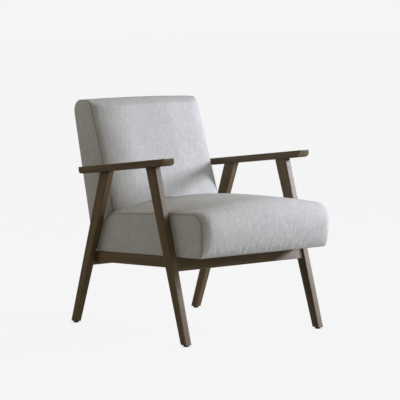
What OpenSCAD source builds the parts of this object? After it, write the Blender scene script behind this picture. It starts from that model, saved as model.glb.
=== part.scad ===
// Armchair with an exposed timber frame, an upholstered seat and an upholstered back.
// Millimetres. +X is to the viewer's right from the front, +Y to the back, +Z up.
// The origin is on the floor, under the middle of the chair's outer box.

/* [Side frames] */
// Width over the outer faces of the two side frames, measured at toe_y
frame_w = 600; // [520:1:700]
// Angle by which each side frame turns in towards the back, in degrees
toe_in = 1.83; // [0:0.01:3]
// Thickness of the legs across the chair
leg_t = 23; // [18:0.5:30]
// Distance from the origin forward to the front of the front feet
foot_front = 311.5; // [280:0.5:340]
// Depth from the front of the front feet to the back of the rear feet
foot_span = 660; // [600:1:720]
// Depth of a front foot where it meets its glide
front_foot_d = 30; // [24:0.5:40]
// Depth of a rear foot where it meets its glide
rear_foot_d = 28; // [22:0.5:40]
// Lean of a front leg's front face towards the back, in degrees
front_rake = 16.5; // [12:0.1:18]
// Lean of a rear leg's front face towards the front, in degrees
rear_rake = 20.9; // [16:0.1:22]
// Angle between the front and back faces of a leg, in degrees
leg_taper = 2.2; // [0.5:0.1:3]
// Height of the foot glides
glide_h = 5; // [3:0.5:10]
// Diameter of the foot glides
glide_d = 18; // [12:0.5:20]

/* [Armrests] */
// Length of an armrest along its slope
arm_l = 496; // [440:1:540]
// Width of an armrest
arm_w = 48; // [40:0.5:60]
// Thickness of an armrest
arm_t = 23.5; // [18:0.5:30]
// Overhang of an armrest outside the leg's outer face
arm_overhang = 21.5; // [5:0.5:30]
// Distance from the origin forward to an armrest's top front edge
arm_front = 219; // [190:1:250]
// Height of an armrest's top front edge
arm_height = 604; // [560:1:640]
// Fall of an armrest towards the back, in degrees
arm_slope = 6.84; // [2:0.01:10]
// Length of the undercut at an armrest's front end
arm_undercut = 15; // [5:0.5:25]
// Radius of an armrest's corners seen from above
arm_corner_r = 11; // [4:0.5:20]

/* [Seat rails] */
// Height of the rails' top plane at the origin
seat_plane = 269; // [240:1:300]
// Fall of the seat towards the back, in degrees
seat_tilt = 3; // [0:0.1:6]
// Thickness of all four rails
rail_t = 20; // [16:0.5:24]
// Height of the side rails
side_rail_h = 35; // [34:0.5:60]
// Height of the front rail
front_rail_h = 45; // [44:0.5:60]
// Height of the rear rail
rear_rail_h = 49; // [44:0.5:60]
// Distance of the front rail behind the front faces of the legs
front_recess = 7; // [0:0.5:10]
// Distance of the rear rail inside the back faces of the legs
rear_recess = 3; // [0:0.5:6]
// Length of a corner block's sides
block_l = 46; // [38:0.5:60]
// Height of the corner blocks
block_h = 26; // [20:0.5:34]

/* [Seat] */
// Clear width between the seat's side and the legs
seat_gap = 5.5; // [5:0.5:30]
// Distance from the origin forward to the seat's side seam, along the seat
seat_front = 362; // [340:0.5:400]
// Height of the side seam above the rails at the front
seat_h = 142; // [125:0.5:170]
// Height of the side seam above the rails at the back
seat_rear_h = 132.5; // [125:0.5:150]
// Radius of the seat's rounded front edge, seen from the side
nose_r = 46; // [40:0.5:80]
// Radius of the seat's rounded rear end, seen from the side
seat_rear_r = 118; // [80:0.5:124]
// Rise of the seat's middle above its side seams, at the front and at the back
seat_crown = 40; // [10:1:50]
// Bulge of the front face's middle
front_bulge = 25; // [2:0.5:34]
// Bulge of a side panel's middle
side_bulge = 4; // [1:0.5:6]
// Thickness of cover and wadding over the foam
cover_t = 7; // [4:0.5:12]
// Height of the seat's inner timber frame
bar_h = 42; // [30:0.5:50]
// Thickness of the inner frame's bars
bar_t = 26; // [20:0.5:32]
// Width of the elastic webbing
web_w = 50; // [40:1:60]
// Thickness of the elastic webbing
web_t = 2; // [1:0.5:3]
// Thickness of the cloth under the seat
dust_t = 1; // [0.5:0.1:1.5]

/* [Back] */
// Clear width between the back's side and the side frames, at the rear rail
back_gap = 24; // [18:0.5:50]
// Height of the back's top edge at its sides
back_top = 769.5; // [700:0.5:820]
// Rise of the top edge's middle
top_crown = 4; // [0:0.5:10]
// Lean of the back's front face, in degrees from vertical
back_front_rake = 20; // [16:0.1:22]
// Lean of the back's rear face, in degrees from vertical
back_rear_rake = 13.3; // [10:0.1:16]
// Distance of the front face ahead of the stiles' feet, at the seat seam's height
back_front_d = 72; // [55:0.5:85]
// Distance of the rear face behind the front of the stiles' feet, at the same height
back_rear_d = 74; // [68:0.5:77]
// Radius of the top front edge
back_front_r = 28; // [15:0.5:35]
// Radius of the top rear edge
back_rear_r = 36; // [15:0.5:40]
// Bulge of the front face's middle
back_crown = 34; // [2:0.5:38]
// Thickness of cover and wadding on the back's sides
back_side_t = 10; // [6:0.5:14]
// Width of the back's stiles
stile_w = 26; // [20:0.5:32]
// Thickness of the stiles' feet at the rear rail's top front edge
stile_lap = 12; // [9:0.5:14]
// Length of the stiles' feet below the rear rail's top
stile_foot_l = 41; // [38:0.5:44]
// Thickness of the fabric panel that closes the back
panel_t = 2.5; // [1.5:0.5:4]

/* [Fasteners] */
// Diameter of the dowels
dowel_d = 8; // [6:0.5:8]
// Diameter of the bolts that hold the back
bolt_d = 6; // [5:0.5:8]
// Diameter of the wood screws
screw_d = 4; // [3:0.5:5]

/* [Hidden] */
$fn = 48;

wood = [0.32, 0.24, 0.17];
inner_wood = [0.80, 0.69, 0.52];
linen = [0.80, 0.78, 0.74];
foam_yellow = [0.93, 0.88, 0.70];
steel = [0.62, 0.63, 0.65];
black = [0.08, 0.08, 0.08];

// Play between a soft piece and what it covers
soft_play = 0.3;
// Play between a dowel, screw or bolt and its hole, on the radius
pin_play = 0.05;
// Length by which a cutting shape runs past the face that it cuts
past = 1;
// Half width of a shape that is trimmed to the space between the side frames
wide = frame_w;

// The line on which frame_w is measured
toe_y = -295.5;
leg_mid = -leg_t / 2;
arm_in = arm_overhang - arm_w;

// Slopes, as run in Y for each millimetre of Z
front_leg_front_k = tan(front_rake);
front_leg_rear_k = tan(front_rake + leg_taper);
rear_leg_front_k = -tan(rear_rake);
rear_leg_rear_k = -tan(rear_rake - leg_taper);
// Slopes of the armrest and of the seat, as fall in Z for each millimetre of Y
arm_m = tan(arm_slope);
seat_m = tan(seat_tilt);

// Where the leg faces start, at the top of the glides
front_leg_front_y = -foot_front;
front_leg_rear_y = -foot_front + front_foot_d;
rear_leg_rear_y = foot_span - foot_front;
rear_leg_front_y = rear_leg_rear_y - rear_foot_d;

// Height of the armrest's underside plane at the origin
arm_under = arm_height - arm_m * arm_front - arm_t / cos(arm_slope);

// Y of a leaning face at a height, and the height at which it meets a sloping plane
function face_y(y0, k, z) = y0 + k * (z - glide_h);
function meet_z(y0, k, z0, m) = (z0 - m * (y0 - k * glide_h)) / (1 + m * k);
function meet(y0, k, z0, m) = [face_y(y0, k, meet_z(y0, k, z0, m)), meet_z(y0, k, z0, m)];

// Half of the clear width between the side frames
function clear_half(y) = frame_w / 2 - leg_t / cos(toe_in) - tan(toe_in) * (y - toe_y);
// Half width of the seat at a distance along it
function seat_half(s) = clear_half(s) - seat_gap;

// A curve with two end tangents that meet in the middle point
function bend(a, b, c, n) =
    [for (i = [0 : n]) let (t = i / n) (1 - t) * (1 - t) * a + 2 * t * (1 - t) * b + t * t * c];
function smooth(t) = let (u = min(1, max(0, t))) u * u * (3 - 2 * u);

// The front rail's and rear rail's faces
front_rail_y = front_leg_front_y + front_recess;
rear_rail_y = rear_leg_rear_y - rear_recess - rail_t;
// The rear rail's top front edge, in front of which the back's stiles and the seat end
rail_top_y = meet(rear_rail_y, rear_leg_rear_k, seat_plane, seat_m)[0];
rail_top = meet(rear_rail_y, rear_leg_rear_k, seat_plane, seat_m)[1];
stile_front = rail_top_y - stile_lap;
seat_end_play = 2;
seat_rear = stile_front - seat_end_play;

// Turns a shape in Y and Z into a bar along X
module side_bar(x0, x1)
    translate([x0, 0, 0])
        rotate([90, 0, 90])
            linear_extrude(height = x1 - x0)
                children();

// Turns a plan shape into a block that reaches past all heights
module plan_block() translate([0, 0, -wide]) linear_extrude(height = 3 * wide) children();

// Space between the side frames, or a band along the right frame's inner face
module between_frames() {
    y0 = -wide;
    y1 = wide;
    plan_block()
        polygon([[-clear_half(y0), y0], [clear_half(y0), y0], [clear_half(y1), y1], [-clear_half(y1), y1]]);
}
module right_band(t) {
    y0 = -wide;
    y1 = wide;
    plan_block()
        polygon([
            [clear_half(y0) - t, y0], [clear_half(y0), y0],
            [clear_half(y1), y1], [clear_half(y1) - t, y1]
        ]);
}

// The right side frame's own axes: X is 0 on the outer face, and negative inside
module right_frame()
    translate([frame_w / 2, toe_y, 0])
        rotate([0, 0, toe_in])
            translate([0, -toe_y, 0])
                children();

// The seat's own axes: Z is 0 on top of the rails, Y runs along the seat
module seat_axes() translate([0, 0, seat_plane]) rotate([-seat_tilt, 0, 0]) children();

module both_sides() {
    children();
    mirror([1, 0, 0]) children();
}

// A rod along X, along Y or along Z, from a point
module rod_x(p, d, l) translate(p) rotate([0, 90, 0]) cylinder(d = d, h = l);
module rod_y(p, d, l) translate(p) rotate([-90, 0, 0]) cylinder(d = d, h = l);
module rod_z(p, d, l) translate(p) cylinder(d = d, h = l);

// A countersunk wood screw along +Z, with its head's face at 0
module screw(l) {
    head_r = screw_d;
    rotate_extrude()
        polygon([
            [0, 0], [head_r, 0], [screw_d / 2, screw_d / 2],
            [screw_d / 2, l - screw_d], [0, l]
        ]);
}
// The hole for such a screw, with a pocket over its head
module screw_hole(l, pocket) {
    head_r = screw_d + pin_play;
    r = screw_d / 2 + pin_play;
    rotate_extrude()
        polygon([
            [0, -pocket], [head_r, -pocket], [head_r, 0],
            [r, head_r - r], [r, l + pin_play], [0, l + pin_play]
        ]);
}

// Armrests

arm_edge_r = 5;
arm_dowel_in = 13;
leg_dowel_in = 20;
arm_dowel_gap = 26;

module arm_outline() {
    polygon(concat(
        bend([arm_edge_r, 0], [0, 0], [arm_edge_r * 0.4, -arm_edge_r], 5),
        bend([arm_undercut * 0.55, -arm_t * 0.68], [arm_undercut, -arm_t], [arm_undercut * 2.2, -arm_t], 6),
        bend([arm_l - arm_undercut * 1.9, -arm_t], [arm_l - arm_undercut * 0.8, -arm_t],
            [arm_l - arm_undercut * 0.4, -arm_t * 0.62], 6),
        bend([arm_l - arm_edge_r * 0.2, -arm_edge_r], [arm_l, 0], [arm_l - arm_edge_r, 0], 5)
    ));
}

module arm_plan() {
    r = arm_corner_r;
    for (x = [arm_in + r, arm_overhang - r], y = [r, arm_l - r]) translate([x, y]) circle(r = r);
    translate([arm_in + r, 0]) square([arm_w - 2 * r, arm_l]);
    translate([arm_in, r]) square([arm_w, arm_l - 2 * r]);
}

// Y of the middle of a leg's top, and of the two dowels in it
front_top_y = (meet(front_leg_front_y, front_leg_front_k, arm_under, arm_m)[0]
    + meet(front_leg_rear_y, front_leg_rear_k, arm_under, arm_m)[0]) / 2;
rear_top_y = (meet(rear_leg_front_y, rear_leg_front_k, arm_under, arm_m)[0]
    + meet(rear_leg_rear_y, rear_leg_rear_k, arm_under, arm_m)[0]) / 2;
function dowel_ys(y) = [y - arm_dowel_gap / 2, y + arm_dowel_gap / 2];

// The armrest's dowels in a leg top, or their holes where play is above 0
module arm_dowel_set(ys, play) {
    for (y = ys) {
        joint_z = arm_under - arm_m * y;
        rod_z([leg_mid, y, joint_z - leg_dowel_in - play], dowel_d + 2 * play,
            leg_dowel_in + arm_dowel_in + 2 * play);
    }
}

module right_arm() {
    right_frame()
        difference() {
            translate([0, -arm_front, arm_height])
                rotate([-arm_slope, 0, 0])
                    intersection() {
                        side_bar(arm_in, arm_overhang) arm_outline();
                        translate([0, 0, -arm_t - past])
                            linear_extrude(height = arm_t + 2 * past)
                                arm_plan();
                    }
            arm_dowel_set(dowel_ys(front_top_y), pin_play);
            arm_dowel_set(dowel_ys(rear_top_y), pin_play);
        }
}

module left_armrest() color(wood) mirror([1, 0, 0]) right_arm();
module right_armrest() color(wood) right_arm();

module armrest_dowels()
    color(inner_wood)
        both_sides()
            right_frame() {
                arm_dowel_set(dowel_ys(front_top_y), 0);
                arm_dowel_set(dowel_ys(rear_top_y), 0);
            }

// Legs

pin_d = 3;
pin_l = 15;

module leg(y_front, k_front, y_rear, k_rear) {
    side_bar(-leg_t, 0)
        polygon([
            [y_front, glide_h], [y_rear, glide_h],
            meet(y_rear, k_rear, arm_under, arm_m), meet(y_front, k_front, arm_under, arm_m)
        ]);
}

front_foot_y = (front_leg_front_y + front_leg_rear_y) / 2;
rear_foot_y = (rear_leg_front_y + rear_leg_rear_y) / 2;

// A foot glide with its pin, or the pin's hole where play is above 0
module glide(y) {
    rod_z([leg_mid, y, 0], glide_d, glide_h);
    rod_z([leg_mid, y, glide_h - past], pin_d, pin_l + past);
}
module glide_hole(y) rod_z([leg_mid, y, 0], pin_d + 2 * pin_play, glide_h + pin_l + pin_play);

module right_front() {
    difference() {
        right_frame()
            difference() {
                leg(front_leg_front_y, front_leg_front_k, front_leg_rear_y, front_leg_rear_k);
                arm_dowel_set(dowel_ys(front_top_y), pin_play);
                glide_hole(front_foot_y);
            }
        rail_dowel_set(front_rail_y, front_leg_front_k, pin_play);
    }
}
module right_rear() {
    difference() {
        right_frame()
            difference() {
                leg(rear_leg_front_y, rear_leg_front_k, rear_leg_rear_y, rear_leg_rear_k);
                arm_dowel_set(dowel_ys(rear_top_y), pin_play);
                glide_hole(rear_foot_y);
            }
        rail_dowel_set(rear_rail_y, rear_leg_rear_k, pin_play);
    }
}

module left_front_leg() color(wood) mirror([1, 0, 0]) right_front();
module right_front_leg() color(wood) right_front();
module left_rear_leg() color(wood) mirror([1, 0, 0]) right_rear();
module right_rear_leg() color(wood) right_rear();

module foot_glides()
    color(black)
        both_sides()
            right_frame() {
                glide(front_foot_y);
                glide(rear_foot_y);
            }

// Rails

rail_dowel_rail = 24;
rail_dowel_leg = 15;
side_dowel_rail = 13;
side_dowel_side = 24;
// Depths below the rails' top plane of the two rows of dowels
rail_dowel_depths = [19, 38];
side_dowel_depths = [10, 28];

// Height of a point that lies a depth below the rails' top plane
function plane_z(y, depth) = seat_plane - seat_m * y - depth;

// The dowels between a cross rail and the right leg, or their holes
module rail_dowel_set(rail_y, k, play) {
    for (depth = rail_dowel_depths) {
        z = meet_z(rail_y + rail_t / 2, k, seat_plane - depth, seat_m);
        y = face_y(rail_y + rail_t / 2, k, z);
        rod_x([clear_half(y) - rail_dowel_rail - play, y, z], dowel_d + 2 * play,
            rail_dowel_rail + rail_dowel_leg + 2 * play);
    }
}

// The dowels between the right side rail and a cross rail's inner face, or their holes
module side_dowel_set(rail_y, k, to_rear, play) {
    for (depth = side_dowel_depths) {
        z = meet_z(rail_y, k, seat_plane - depth, seat_m);
        y = face_y(rail_y, k, z);
        in_rail = side_dowel_rail + play;
        in_side = side_dowel_side + play;
        rod_y([clear_half(y) - rail_t / 2, y - (to_rear ? in_side : in_rail), z],
            dowel_d + 2 * play, in_rail + in_side);
    }
}

module cross_rail(rail_y, k, h) {
    intersection() {
        side_bar(-wide, wide)
            polygon([
                meet(rail_y, k, seat_plane - h, seat_m), meet(rail_y + rail_t, k, seat_plane - h, seat_m),
                meet(rail_y + rail_t, k, seat_plane, seat_m), meet(rail_y, k, seat_plane, seat_m)
            ]);
        between_frames();
    }
}

module front_rail()
    color(wood)
        difference() {
            cross_rail(front_rail_y, front_leg_front_k, front_rail_h);
            both_sides() {
                rail_dowel_set(front_rail_y, front_leg_front_k, pin_play);
                side_dowel_set(front_rail_y + rail_t, front_leg_front_k, false, pin_play);
                block_screw_y() screw_hole(block_screw_l, past);
            }
        }

module rear_rail()
    color(wood)
        difference() {
            cross_rail(rear_rail_y, rear_leg_rear_k, rear_rail_h);
            both_sides() {
                rail_dowel_set(rear_rail_y, rear_leg_rear_k, pin_play);
                side_dowel_set(rear_rail_y, rear_leg_rear_k, true, pin_play);
                insert_set(pin_play, 2 * rail_t);
            }
        }

module right_side() {
    difference() {
        intersection() {
            side_bar(0, wide)
                polygon([
                    meet(front_rail_y + rail_t, front_leg_front_k, seat_plane - side_rail_h, seat_m),
                    meet(rear_rail_y, rear_leg_rear_k, seat_plane - side_rail_h, seat_m),
                    meet(rear_rail_y, rear_leg_rear_k, seat_plane, seat_m),
                    meet(front_rail_y + rail_t, front_leg_front_k, seat_plane, seat_m)
                ]);
            right_band(rail_t);
        }
        side_dowel_set(front_rail_y + rail_t, front_leg_front_k, false, pin_play);
        side_dowel_set(rear_rail_y, rear_leg_rear_k, true, pin_play);
        block_screw_x() screw_hole(block_screw_l, past);
        bracket_screw_x() screw_hole(bracket_screw_l, past);
    }
}

module left_side_rail() color(wood) mirror([1, 0, 0]) right_side();
module right_side_rail() color(wood) right_side();

module rail_dowels()
    color(inner_wood)
        both_sides() {
            rail_dowel_set(front_rail_y, front_leg_front_k, 0);
            rail_dowel_set(rear_rail_y, rear_leg_rear_k, 0);
        }

module side_rail_dowels()
    color(inner_wood)
        both_sides() {
            side_dowel_set(front_rail_y + rail_t, front_leg_front_k, false, 0);
            side_dowel_set(rear_rail_y, rear_leg_rear_k, true, 0);
        }

// Corner blocks behind the front rail

block_screw_l = 24;
block_seat = 11;
fixing_screw_l = 40;
// Y of the front rail's inner face at the middle of a block
block_y = face_y(front_rail_y + rail_t, front_leg_front_k, plane_z(front_rail_y, block_h / 2));
block_x = clear_half(block_y) - rail_t;
block_mid = plane_z(block_y, block_h / 2);

block_screw_y0 = block_y + block_l * 0.68;

// Places of the screws: out into the side rail, forward into the front rail, up into the seat
module block_screw_x()
    translate([clear_half(block_screw_y0) - rail_t - block_seat, block_screw_y0, block_mid])
        rotate([0, 90, 0])
            children();
module block_screw_y()
    translate([block_x - block_l * 0.68, block_y + block_seat, block_mid])
        rotate([90, 0, 0])
            children();
module fixing_screw_at()
    seat_axes()
        translate([seat_half(block_y) - cover_t - past - bar_t / 2, block_y + block_l * 0.3, -block_h])
            children();

module right_block() {
    difference() {
        intersection() {
            side_bar(0, wide)
                polygon([
                    meet(front_rail_y + rail_t, front_leg_front_k, seat_plane - block_h, seat_m),
                    [block_y + 2 * block_l, plane_z(block_y + 2 * block_l, block_h)],
                    [block_y + 2 * block_l, plane_z(block_y + 2 * block_l, 0)],
                    meet(front_rail_y + rail_t, front_leg_front_k, seat_plane, seat_m)
                ]);
            between_frames();
            plan_block()
                polygon([
                    [clear_half(block_y - block_l) - rail_t, block_y - block_l],
                    [clear_half(block_y + block_l) - rail_t, block_y + block_l],
                    [block_x - block_l, block_y], [block_x - block_l, block_y - block_l]
                ]);
        }
        block_screw_x() screw_hole(block_screw_l, block_l);
        block_screw_y() screw_hole(block_screw_l, block_l);
        fixing_screw_at() screw_hole(fixing_screw_l, past);
    }
}

module left_corner_block() color(inner_wood) mirror([1, 0, 0]) right_block();
module right_corner_block() color(inner_wood) right_block();
module corner_block_screws()
    color(steel)
        both_sides() {
            block_screw_x() screw(block_screw_l);
            block_screw_y() screw(block_screw_l);
        }
module seat_fixing_screws() color(steel) both_sides() fixing_screw_at() screw(fixing_screw_l);

// The seat's inner timber frame

bar_play = past;
bar_front = -seat_front + 22;
bar_rear = seat_rear - 8;
bar_low = dust_t;
side_bar_top = dust_t + bar_h - web_t;
bar_top = dust_t + bar_h;
seat_dowel_l = 40;
seat_dowel_heights = [0.3, 0.72];

// A plan shape that keeps a distance inside the seat's sides
module seat_plan(s0, s1, inset) {
    translate([0, 0, -past])
        linear_extrude(height = 2 * seat_h)
            polygon([
                [-seat_half(s0) + inset, s0], [seat_half(s0) - inset, s0],
                [seat_half(s1) - inset, s1], [-seat_half(s1) + inset, s1]
            ]);
}
module seat_slab(s0, s1, inset, w0, w1) {
    intersection() {
        translate([-wide, s0, w0]) cube([2 * wide, s1 - s0, w1 - w0]);
        translate([0, 0, w0]) seat_plan(s0, s1, inset);
    }
}

side_inset = cover_t + bar_play;
function bar_mid(s) = seat_half(s) - side_inset - bar_t / 2;

module seat_dowel_set(play) {
    for (s = [bar_front + bar_t, bar_rear - bar_t], h = seat_dowel_heights)
        rod_y([bar_mid(s), s - seat_dowel_l / 2 - play, bar_low + h * (side_bar_top - bar_low)],
            dowel_d + 2 * play, seat_dowel_l + 2 * play);
}

module seat_front_bar()
    color(inner_wood)
        seat_axes()
            difference() {
                seat_slab(bar_front, bar_front + bar_t, side_inset, bar_low, bar_top);
                both_sides() seat_dowel_set(pin_play);
            }
module seat_rear_bar()
    color(inner_wood)
        seat_axes()
            difference() {
                seat_slab(bar_rear - bar_t, bar_rear, side_inset, bar_low, bar_top);
                both_sides() seat_dowel_set(pin_play);
            }
module right_seat_bar() {
    difference() {
        seat_axes()
            difference() {
                seat_slab(bar_front + bar_t, bar_rear - bar_t, side_inset, bar_low, side_bar_top);
                translate([0, 0, -past])
                    seat_slab(bar_front, bar_rear, side_inset + bar_t, bar_low, side_bar_top + 2 * past);
                translate([-2 * wide, -wide, -past]) cube([2 * wide, 2 * wide, wide]);
                seat_dowel_set(pin_play);
            }
        fixing_screw_at() screw_hole(fixing_screw_l, past);
        bracket_screw_z() screw_hole(bracket_screw_l, past);
    }
}
module seat_left_bar() color(inner_wood) mirror([1, 0, 0]) right_seat_bar();
module seat_right_bar() color(inner_wood) right_seat_bar();
module seat_frame_dowels() color(inner_wood) seat_axes() both_sides() seat_dowel_set(0);

// Steel angles between the side rails and the seat frame, near the back

bracket_y = seat_rear * 0.7;
bracket_w = 20;
bracket_t = 2.5;
bracket_l = 32;
bracket_play = 0.25;
bracket_screw_l = 15;
bracket_hole_at = 17;

module bracket_axes()
    right_frame()
        translate([-leg_t - rail_t - bracket_play, bracket_y, plane_z(bracket_y, bracket_play)])
            rotate([-seat_tilt, 0, 0])
                children();
module bracket_screw_x()
    bracket_axes() translate([-bracket_t, 0, -bracket_hole_at]) rotate([0, 90, 0]) children();
module bracket_screw_z() bracket_axes() translate([-bracket_hole_at, 0, -bracket_t]) children();

module right_bracket() {
    difference() {
        bracket_axes() {
            translate([-bracket_l, -bracket_w / 2, -bracket_t]) cube([bracket_l, bracket_w, bracket_t]);
            translate([-bracket_t, -bracket_w / 2, -bracket_l]) cube([bracket_t, bracket_w, bracket_l]);
        }
        bracket_screw_x() screw_hole(bracket_screw_l, past);
        bracket_screw_z() screw_hole(bracket_screw_l, past);
    }
}
module seat_brackets() color(steel) both_sides() right_bracket();
module seat_bracket_screws()
    color(steel)
        both_sides() {
            bracket_screw_x() screw(bracket_screw_l);
            bracket_screw_z() screw(bracket_screw_l);
        }

// Webbing, foam and cloth under the seat

web_inset = side_inset + 6;
web_count = 4;
web_base = bar_top;

module seat_cross_webbing()
    color(black)
        seat_axes() {
            span = bar_rear - bar_front - 2 * bar_t - web_w;
            for (i = [0 : web_count - 1]) {
                s = bar_front + bar_t + web_w * 0.5 + span * i / (web_count - 1);
                seat_slab(s - web_w / 2, s + web_w / 2, web_inset, web_base - web_t, web_base);
            }
        }
module seat_long_webbing()
    color(black)
        seat_axes() {
            span = 2 * (seat_half(bar_rear) - side_inset - bar_t) - web_w * 1.6;
            for (i = [0 : web_count - 1])
                translate([-span / 2 + span * i / (web_count - 1) - web_w / 2, bar_front + 6, web_base])
                    cube([web_w, bar_rear - bar_front - 12, web_t]);
        }

// The seat's side outline, as points with the push that the full crown gives each of them,
// and 1 where the crown is the front face's

// Share of the crown by which the middle of the top rises above its front and back
top_swell = 0.3;
nose_c = [-seat_front + nose_r, seat_h - nose_r];
tail_c = [seat_rear - seat_rear_r, seat_rear_h - seat_rear_r];
// Direction of the top line's normal: the line touches both round ends
top_turn = let (d = tail_c - nose_c)
    atan2(d[1], d[0]) + acos((nose_r - seat_rear_r) / norm(d));
// Angles at which the nose's arc and the lower edge's curve end
nose_turn = 180;
lower_turn = 90;
// Depth and fullness of the lower front edge's curve
lower_d = 14;
lower_n = 2.6;
tail_steps = 10;
top_steps = 6;
nose_steps = 10;
lower_steps = 8;

function tail_push(a) = seat_crown * smooth((a - 8) / 64);
function tail_point(a, inset) =
    let (r = seat_rear_r - inset, n = [cos(a), sin(a)]) concat(tail_c + r * n, tail_push(a) * n, 0);
function top_point(f, inset) =
    let (n = [cos(top_turn), sin(top_turn)],
        p = (1 - f) * tail_point(top_turn, inset) + f * nose_point(top_turn, inset))
    concat([p[0], p[1]], seat_crown * (1 + 4 * top_swell * f * (1 - f)) * n, 0);
function nose_point(a, inset) =
    let (r = nose_r - inset, n = [cos(a), sin(a)], f = smooth((a - top_turn) / (nose_turn - top_turn)))
    concat(nose_c + r * n, (seat_crown * (1 - f) + front_bulge * f) * n, f);
function lower_point(a, inset) =
    let (h = nose_c[1],
        u = pow(cos(a), 2 / lower_n) * (lower_d - inset),
        v = pow(sin(a), 2 / lower_n) * (h - inset),
        fade = 1 - pow(v / (h - inset), 2))
    [-seat_front + lower_d - u, h - v, -front_bulge * fade, 0, 1];

function seat_outline(inset) = concat(
    [[seat_rear - inset, inset, 0, 0, 0]],
    [for (i = [0 : tail_steps]) tail_point(top_turn * i / tail_steps, inset)],
    [for (i = [1 : top_steps - 1]) top_point(i / top_steps, inset)],
    [for (i = [0 : nose_steps]) nose_point(top_turn + (nose_turn - top_turn) * i / nose_steps, inset)],
    [for (i = [1 : lower_steps]) lower_point(lower_turn * i / lower_steps, inset)]
);
function flat_part(points) = [for (p = points) [p[0], p[1]]];

// Share of the crown at a place across the seat, from -1 to 1
crown_n = 1.7;
crown_top = 0.01;
function crown_share(t) =
    (pow(1 + crown_top, crown_n / 2) - pow(t * t + crown_top, crown_n / 2))
        / (pow(1 + crown_top, crown_n / 2) - pow(crown_top, crown_n / 2));
// The front face is nearly flat across, and rolls round at its side seams
front_n = 7;
function front_share(t) = 1 - pow(abs(t), front_n);

seat_stations = [-1, -0.97, -0.91, -0.82, -0.68, -0.45, -0.2, 0, 0.2, 0.45, 0.68, 0.82, 0.91, 0.97, 1];
// Rings of a side panel: how far each is drawn in, and its share of the bulge
panel_rings = [[0.93, 0.55], [0.7, 0.9]];
panel_centre = [-seat_front * 0.2, seat_h * 0.5];

function seat_loop(t) = [
    for (p = seat_outline(0))
        let (c = (1 - p[4]) * crown_share(t) + p[4] * front_share(t), s = p[0] + c * p[2], w = p[1] + c * p[3])
        [t * seat_half(s), s, w]
];
function seat_panel_loop(side, ring) = [
    for (p = seat_outline(0)) let (q = panel_centre + ring[0] * ([p[0], p[1]] - panel_centre))
        [side * (seat_half(q[0]) + ring[1] * side_bulge), q[0], q[1]]
];

// Faces of a form skinned over loops of n points each, with its ends closed by fans
function skin_faces(rows, n) = concat(
    [for (j = [0 : rows - 2], i = [0 : n - 1]) let (a = j * n + i, b = j * n + (i + 1) % n)
        [a, b + n, b]],
    [for (j = [0 : rows - 2], i = [0 : n - 1]) let (a = j * n + i, b = j * n + (i + 1) % n)
        [a, a + n, b + n]],
    [for (i = [0 : n - 1]) [i, (i + 1) % n, rows * n]],
    [for (i = [0 : n - 1]) [(rows - 1) * n + (i + 1) % n, (rows - 1) * n + i, rows * n + 1]]
);
module skinned(loops, first, last) {
    n = len(loops[0]);
    polyhedron(
        points = concat([for (l = loops, p = l) p], [first, last]),
        faces = skin_faces(len(loops), n)
    );
}

module seat_form() {
    last = len(panel_rings) - 1;
    loops = concat(
        [for (i = [last : -1 : 0]) seat_panel_loop(-1, panel_rings[i])],
        [for (t = seat_stations) seat_loop(t)],
        [for (i = [0 : last]) seat_panel_loop(1, panel_rings[i])]
    );
    tip = seat_half(panel_centre[0]) + side_bulge;
    skinned(loops, concat([-tip], panel_centre), concat([tip], panel_centre));
}

foam_low = web_base + web_t;
foam_side = cover_t - 1;

module foam_block(play) {
    intersection() {
        side_bar(-wide, wide) polygon(flat_part(seat_outline(cover_t - play)));
        seat_slab(-seat_front, seat_rear, foam_side - play, foam_low - play, 2 * seat_h);
    }
}

module seat_foam() color(foam_yellow) seat_axes() foam_block(0);

module seat_cover()
    color(linen)
        seat_axes()
            difference() {
                seat_form();
                foam_block(soft_play);
                seat_slab(bar_front - soft_play, bar_rear + soft_play, side_inset - soft_play,
                    -past, foam_low + past);
            }

module dust_cover()
    color(black)
        difference() {
            seat_axes() seat_slab(bar_front + 2, bar_rear - 1, side_inset + 1, 0, dust_t);
            both_sides() {
                fixing_screw_at() screw_hole(fixing_screw_l, past);
                bracket_screw_z() screw_hole(bracket_screw_l, past);
            }
        }

// The back's outline in Y and Z

back_front_k = tan(back_front_rake);
back_rear_k = tan(back_rear_rake);
// Height of the seat's side seam where it meets the back
back_base = rail_top + seat_rear_h;
back_front = stile_front - back_front_d;
back_rear = stile_front + back_rear_d;
back_half_w = clear_half(rail_top_y) - back_gap;

function back_front_y(z) = back_front + back_front_k * (z - back_base);
function back_rear_y(z) = back_rear + back_rear_k * (z - back_base);
function front_arc_c() = let (z = back_top - back_front_r)
    [back_front_y(z) + back_front_r / cos(back_front_rake), z];
// Angles along the rounded top edges, from the front face to the top and on to the rear face
function front_corner_turn(f) = nose_turn - back_front_rake - (lower_turn - back_front_rake) * f;
function rear_corner_turn(f) = lower_turn - (lower_turn + back_rear_rake) * f;
function rear_arc_c() = let (z = back_top - back_rear_r)
    [back_rear_y(z) - back_rear_r / cos(back_rear_rake), z];

// A point on the seat's rounded rear end at a place across it, and how far in front
// of the back's front face it lies
function seat_top_point(a, x, gap) =
    let (p = tail_point(a, -gap), c = crown_share(min(1, abs(x) / seat_half(p[0]))),
        s = p[0] + c * p[2], w = p[1] + c * p[3])
    [s * cos(seat_tilt) + w * sin(seat_tilt), seat_plane + w * cos(seat_tilt) - s * sin(seat_tilt)];
function ahead(a, x, push, gap) =
    let (p = seat_top_point(a, x, gap)) back_front_y(p[1]) - push - p[0];
// Angle on the seat's rear end at which the back's front face meets it
function meet_turn(x, push, gap, lo, hi, n) =
    let (mid = (lo + hi) / 2)
    n == 0 ? mid
        : ahead(mid, x, push, gap) > 0 ? meet_turn(x, push, gap, lo, mid, n - 1)
            : meet_turn(x, push, gap, mid, hi, n - 1);

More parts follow.
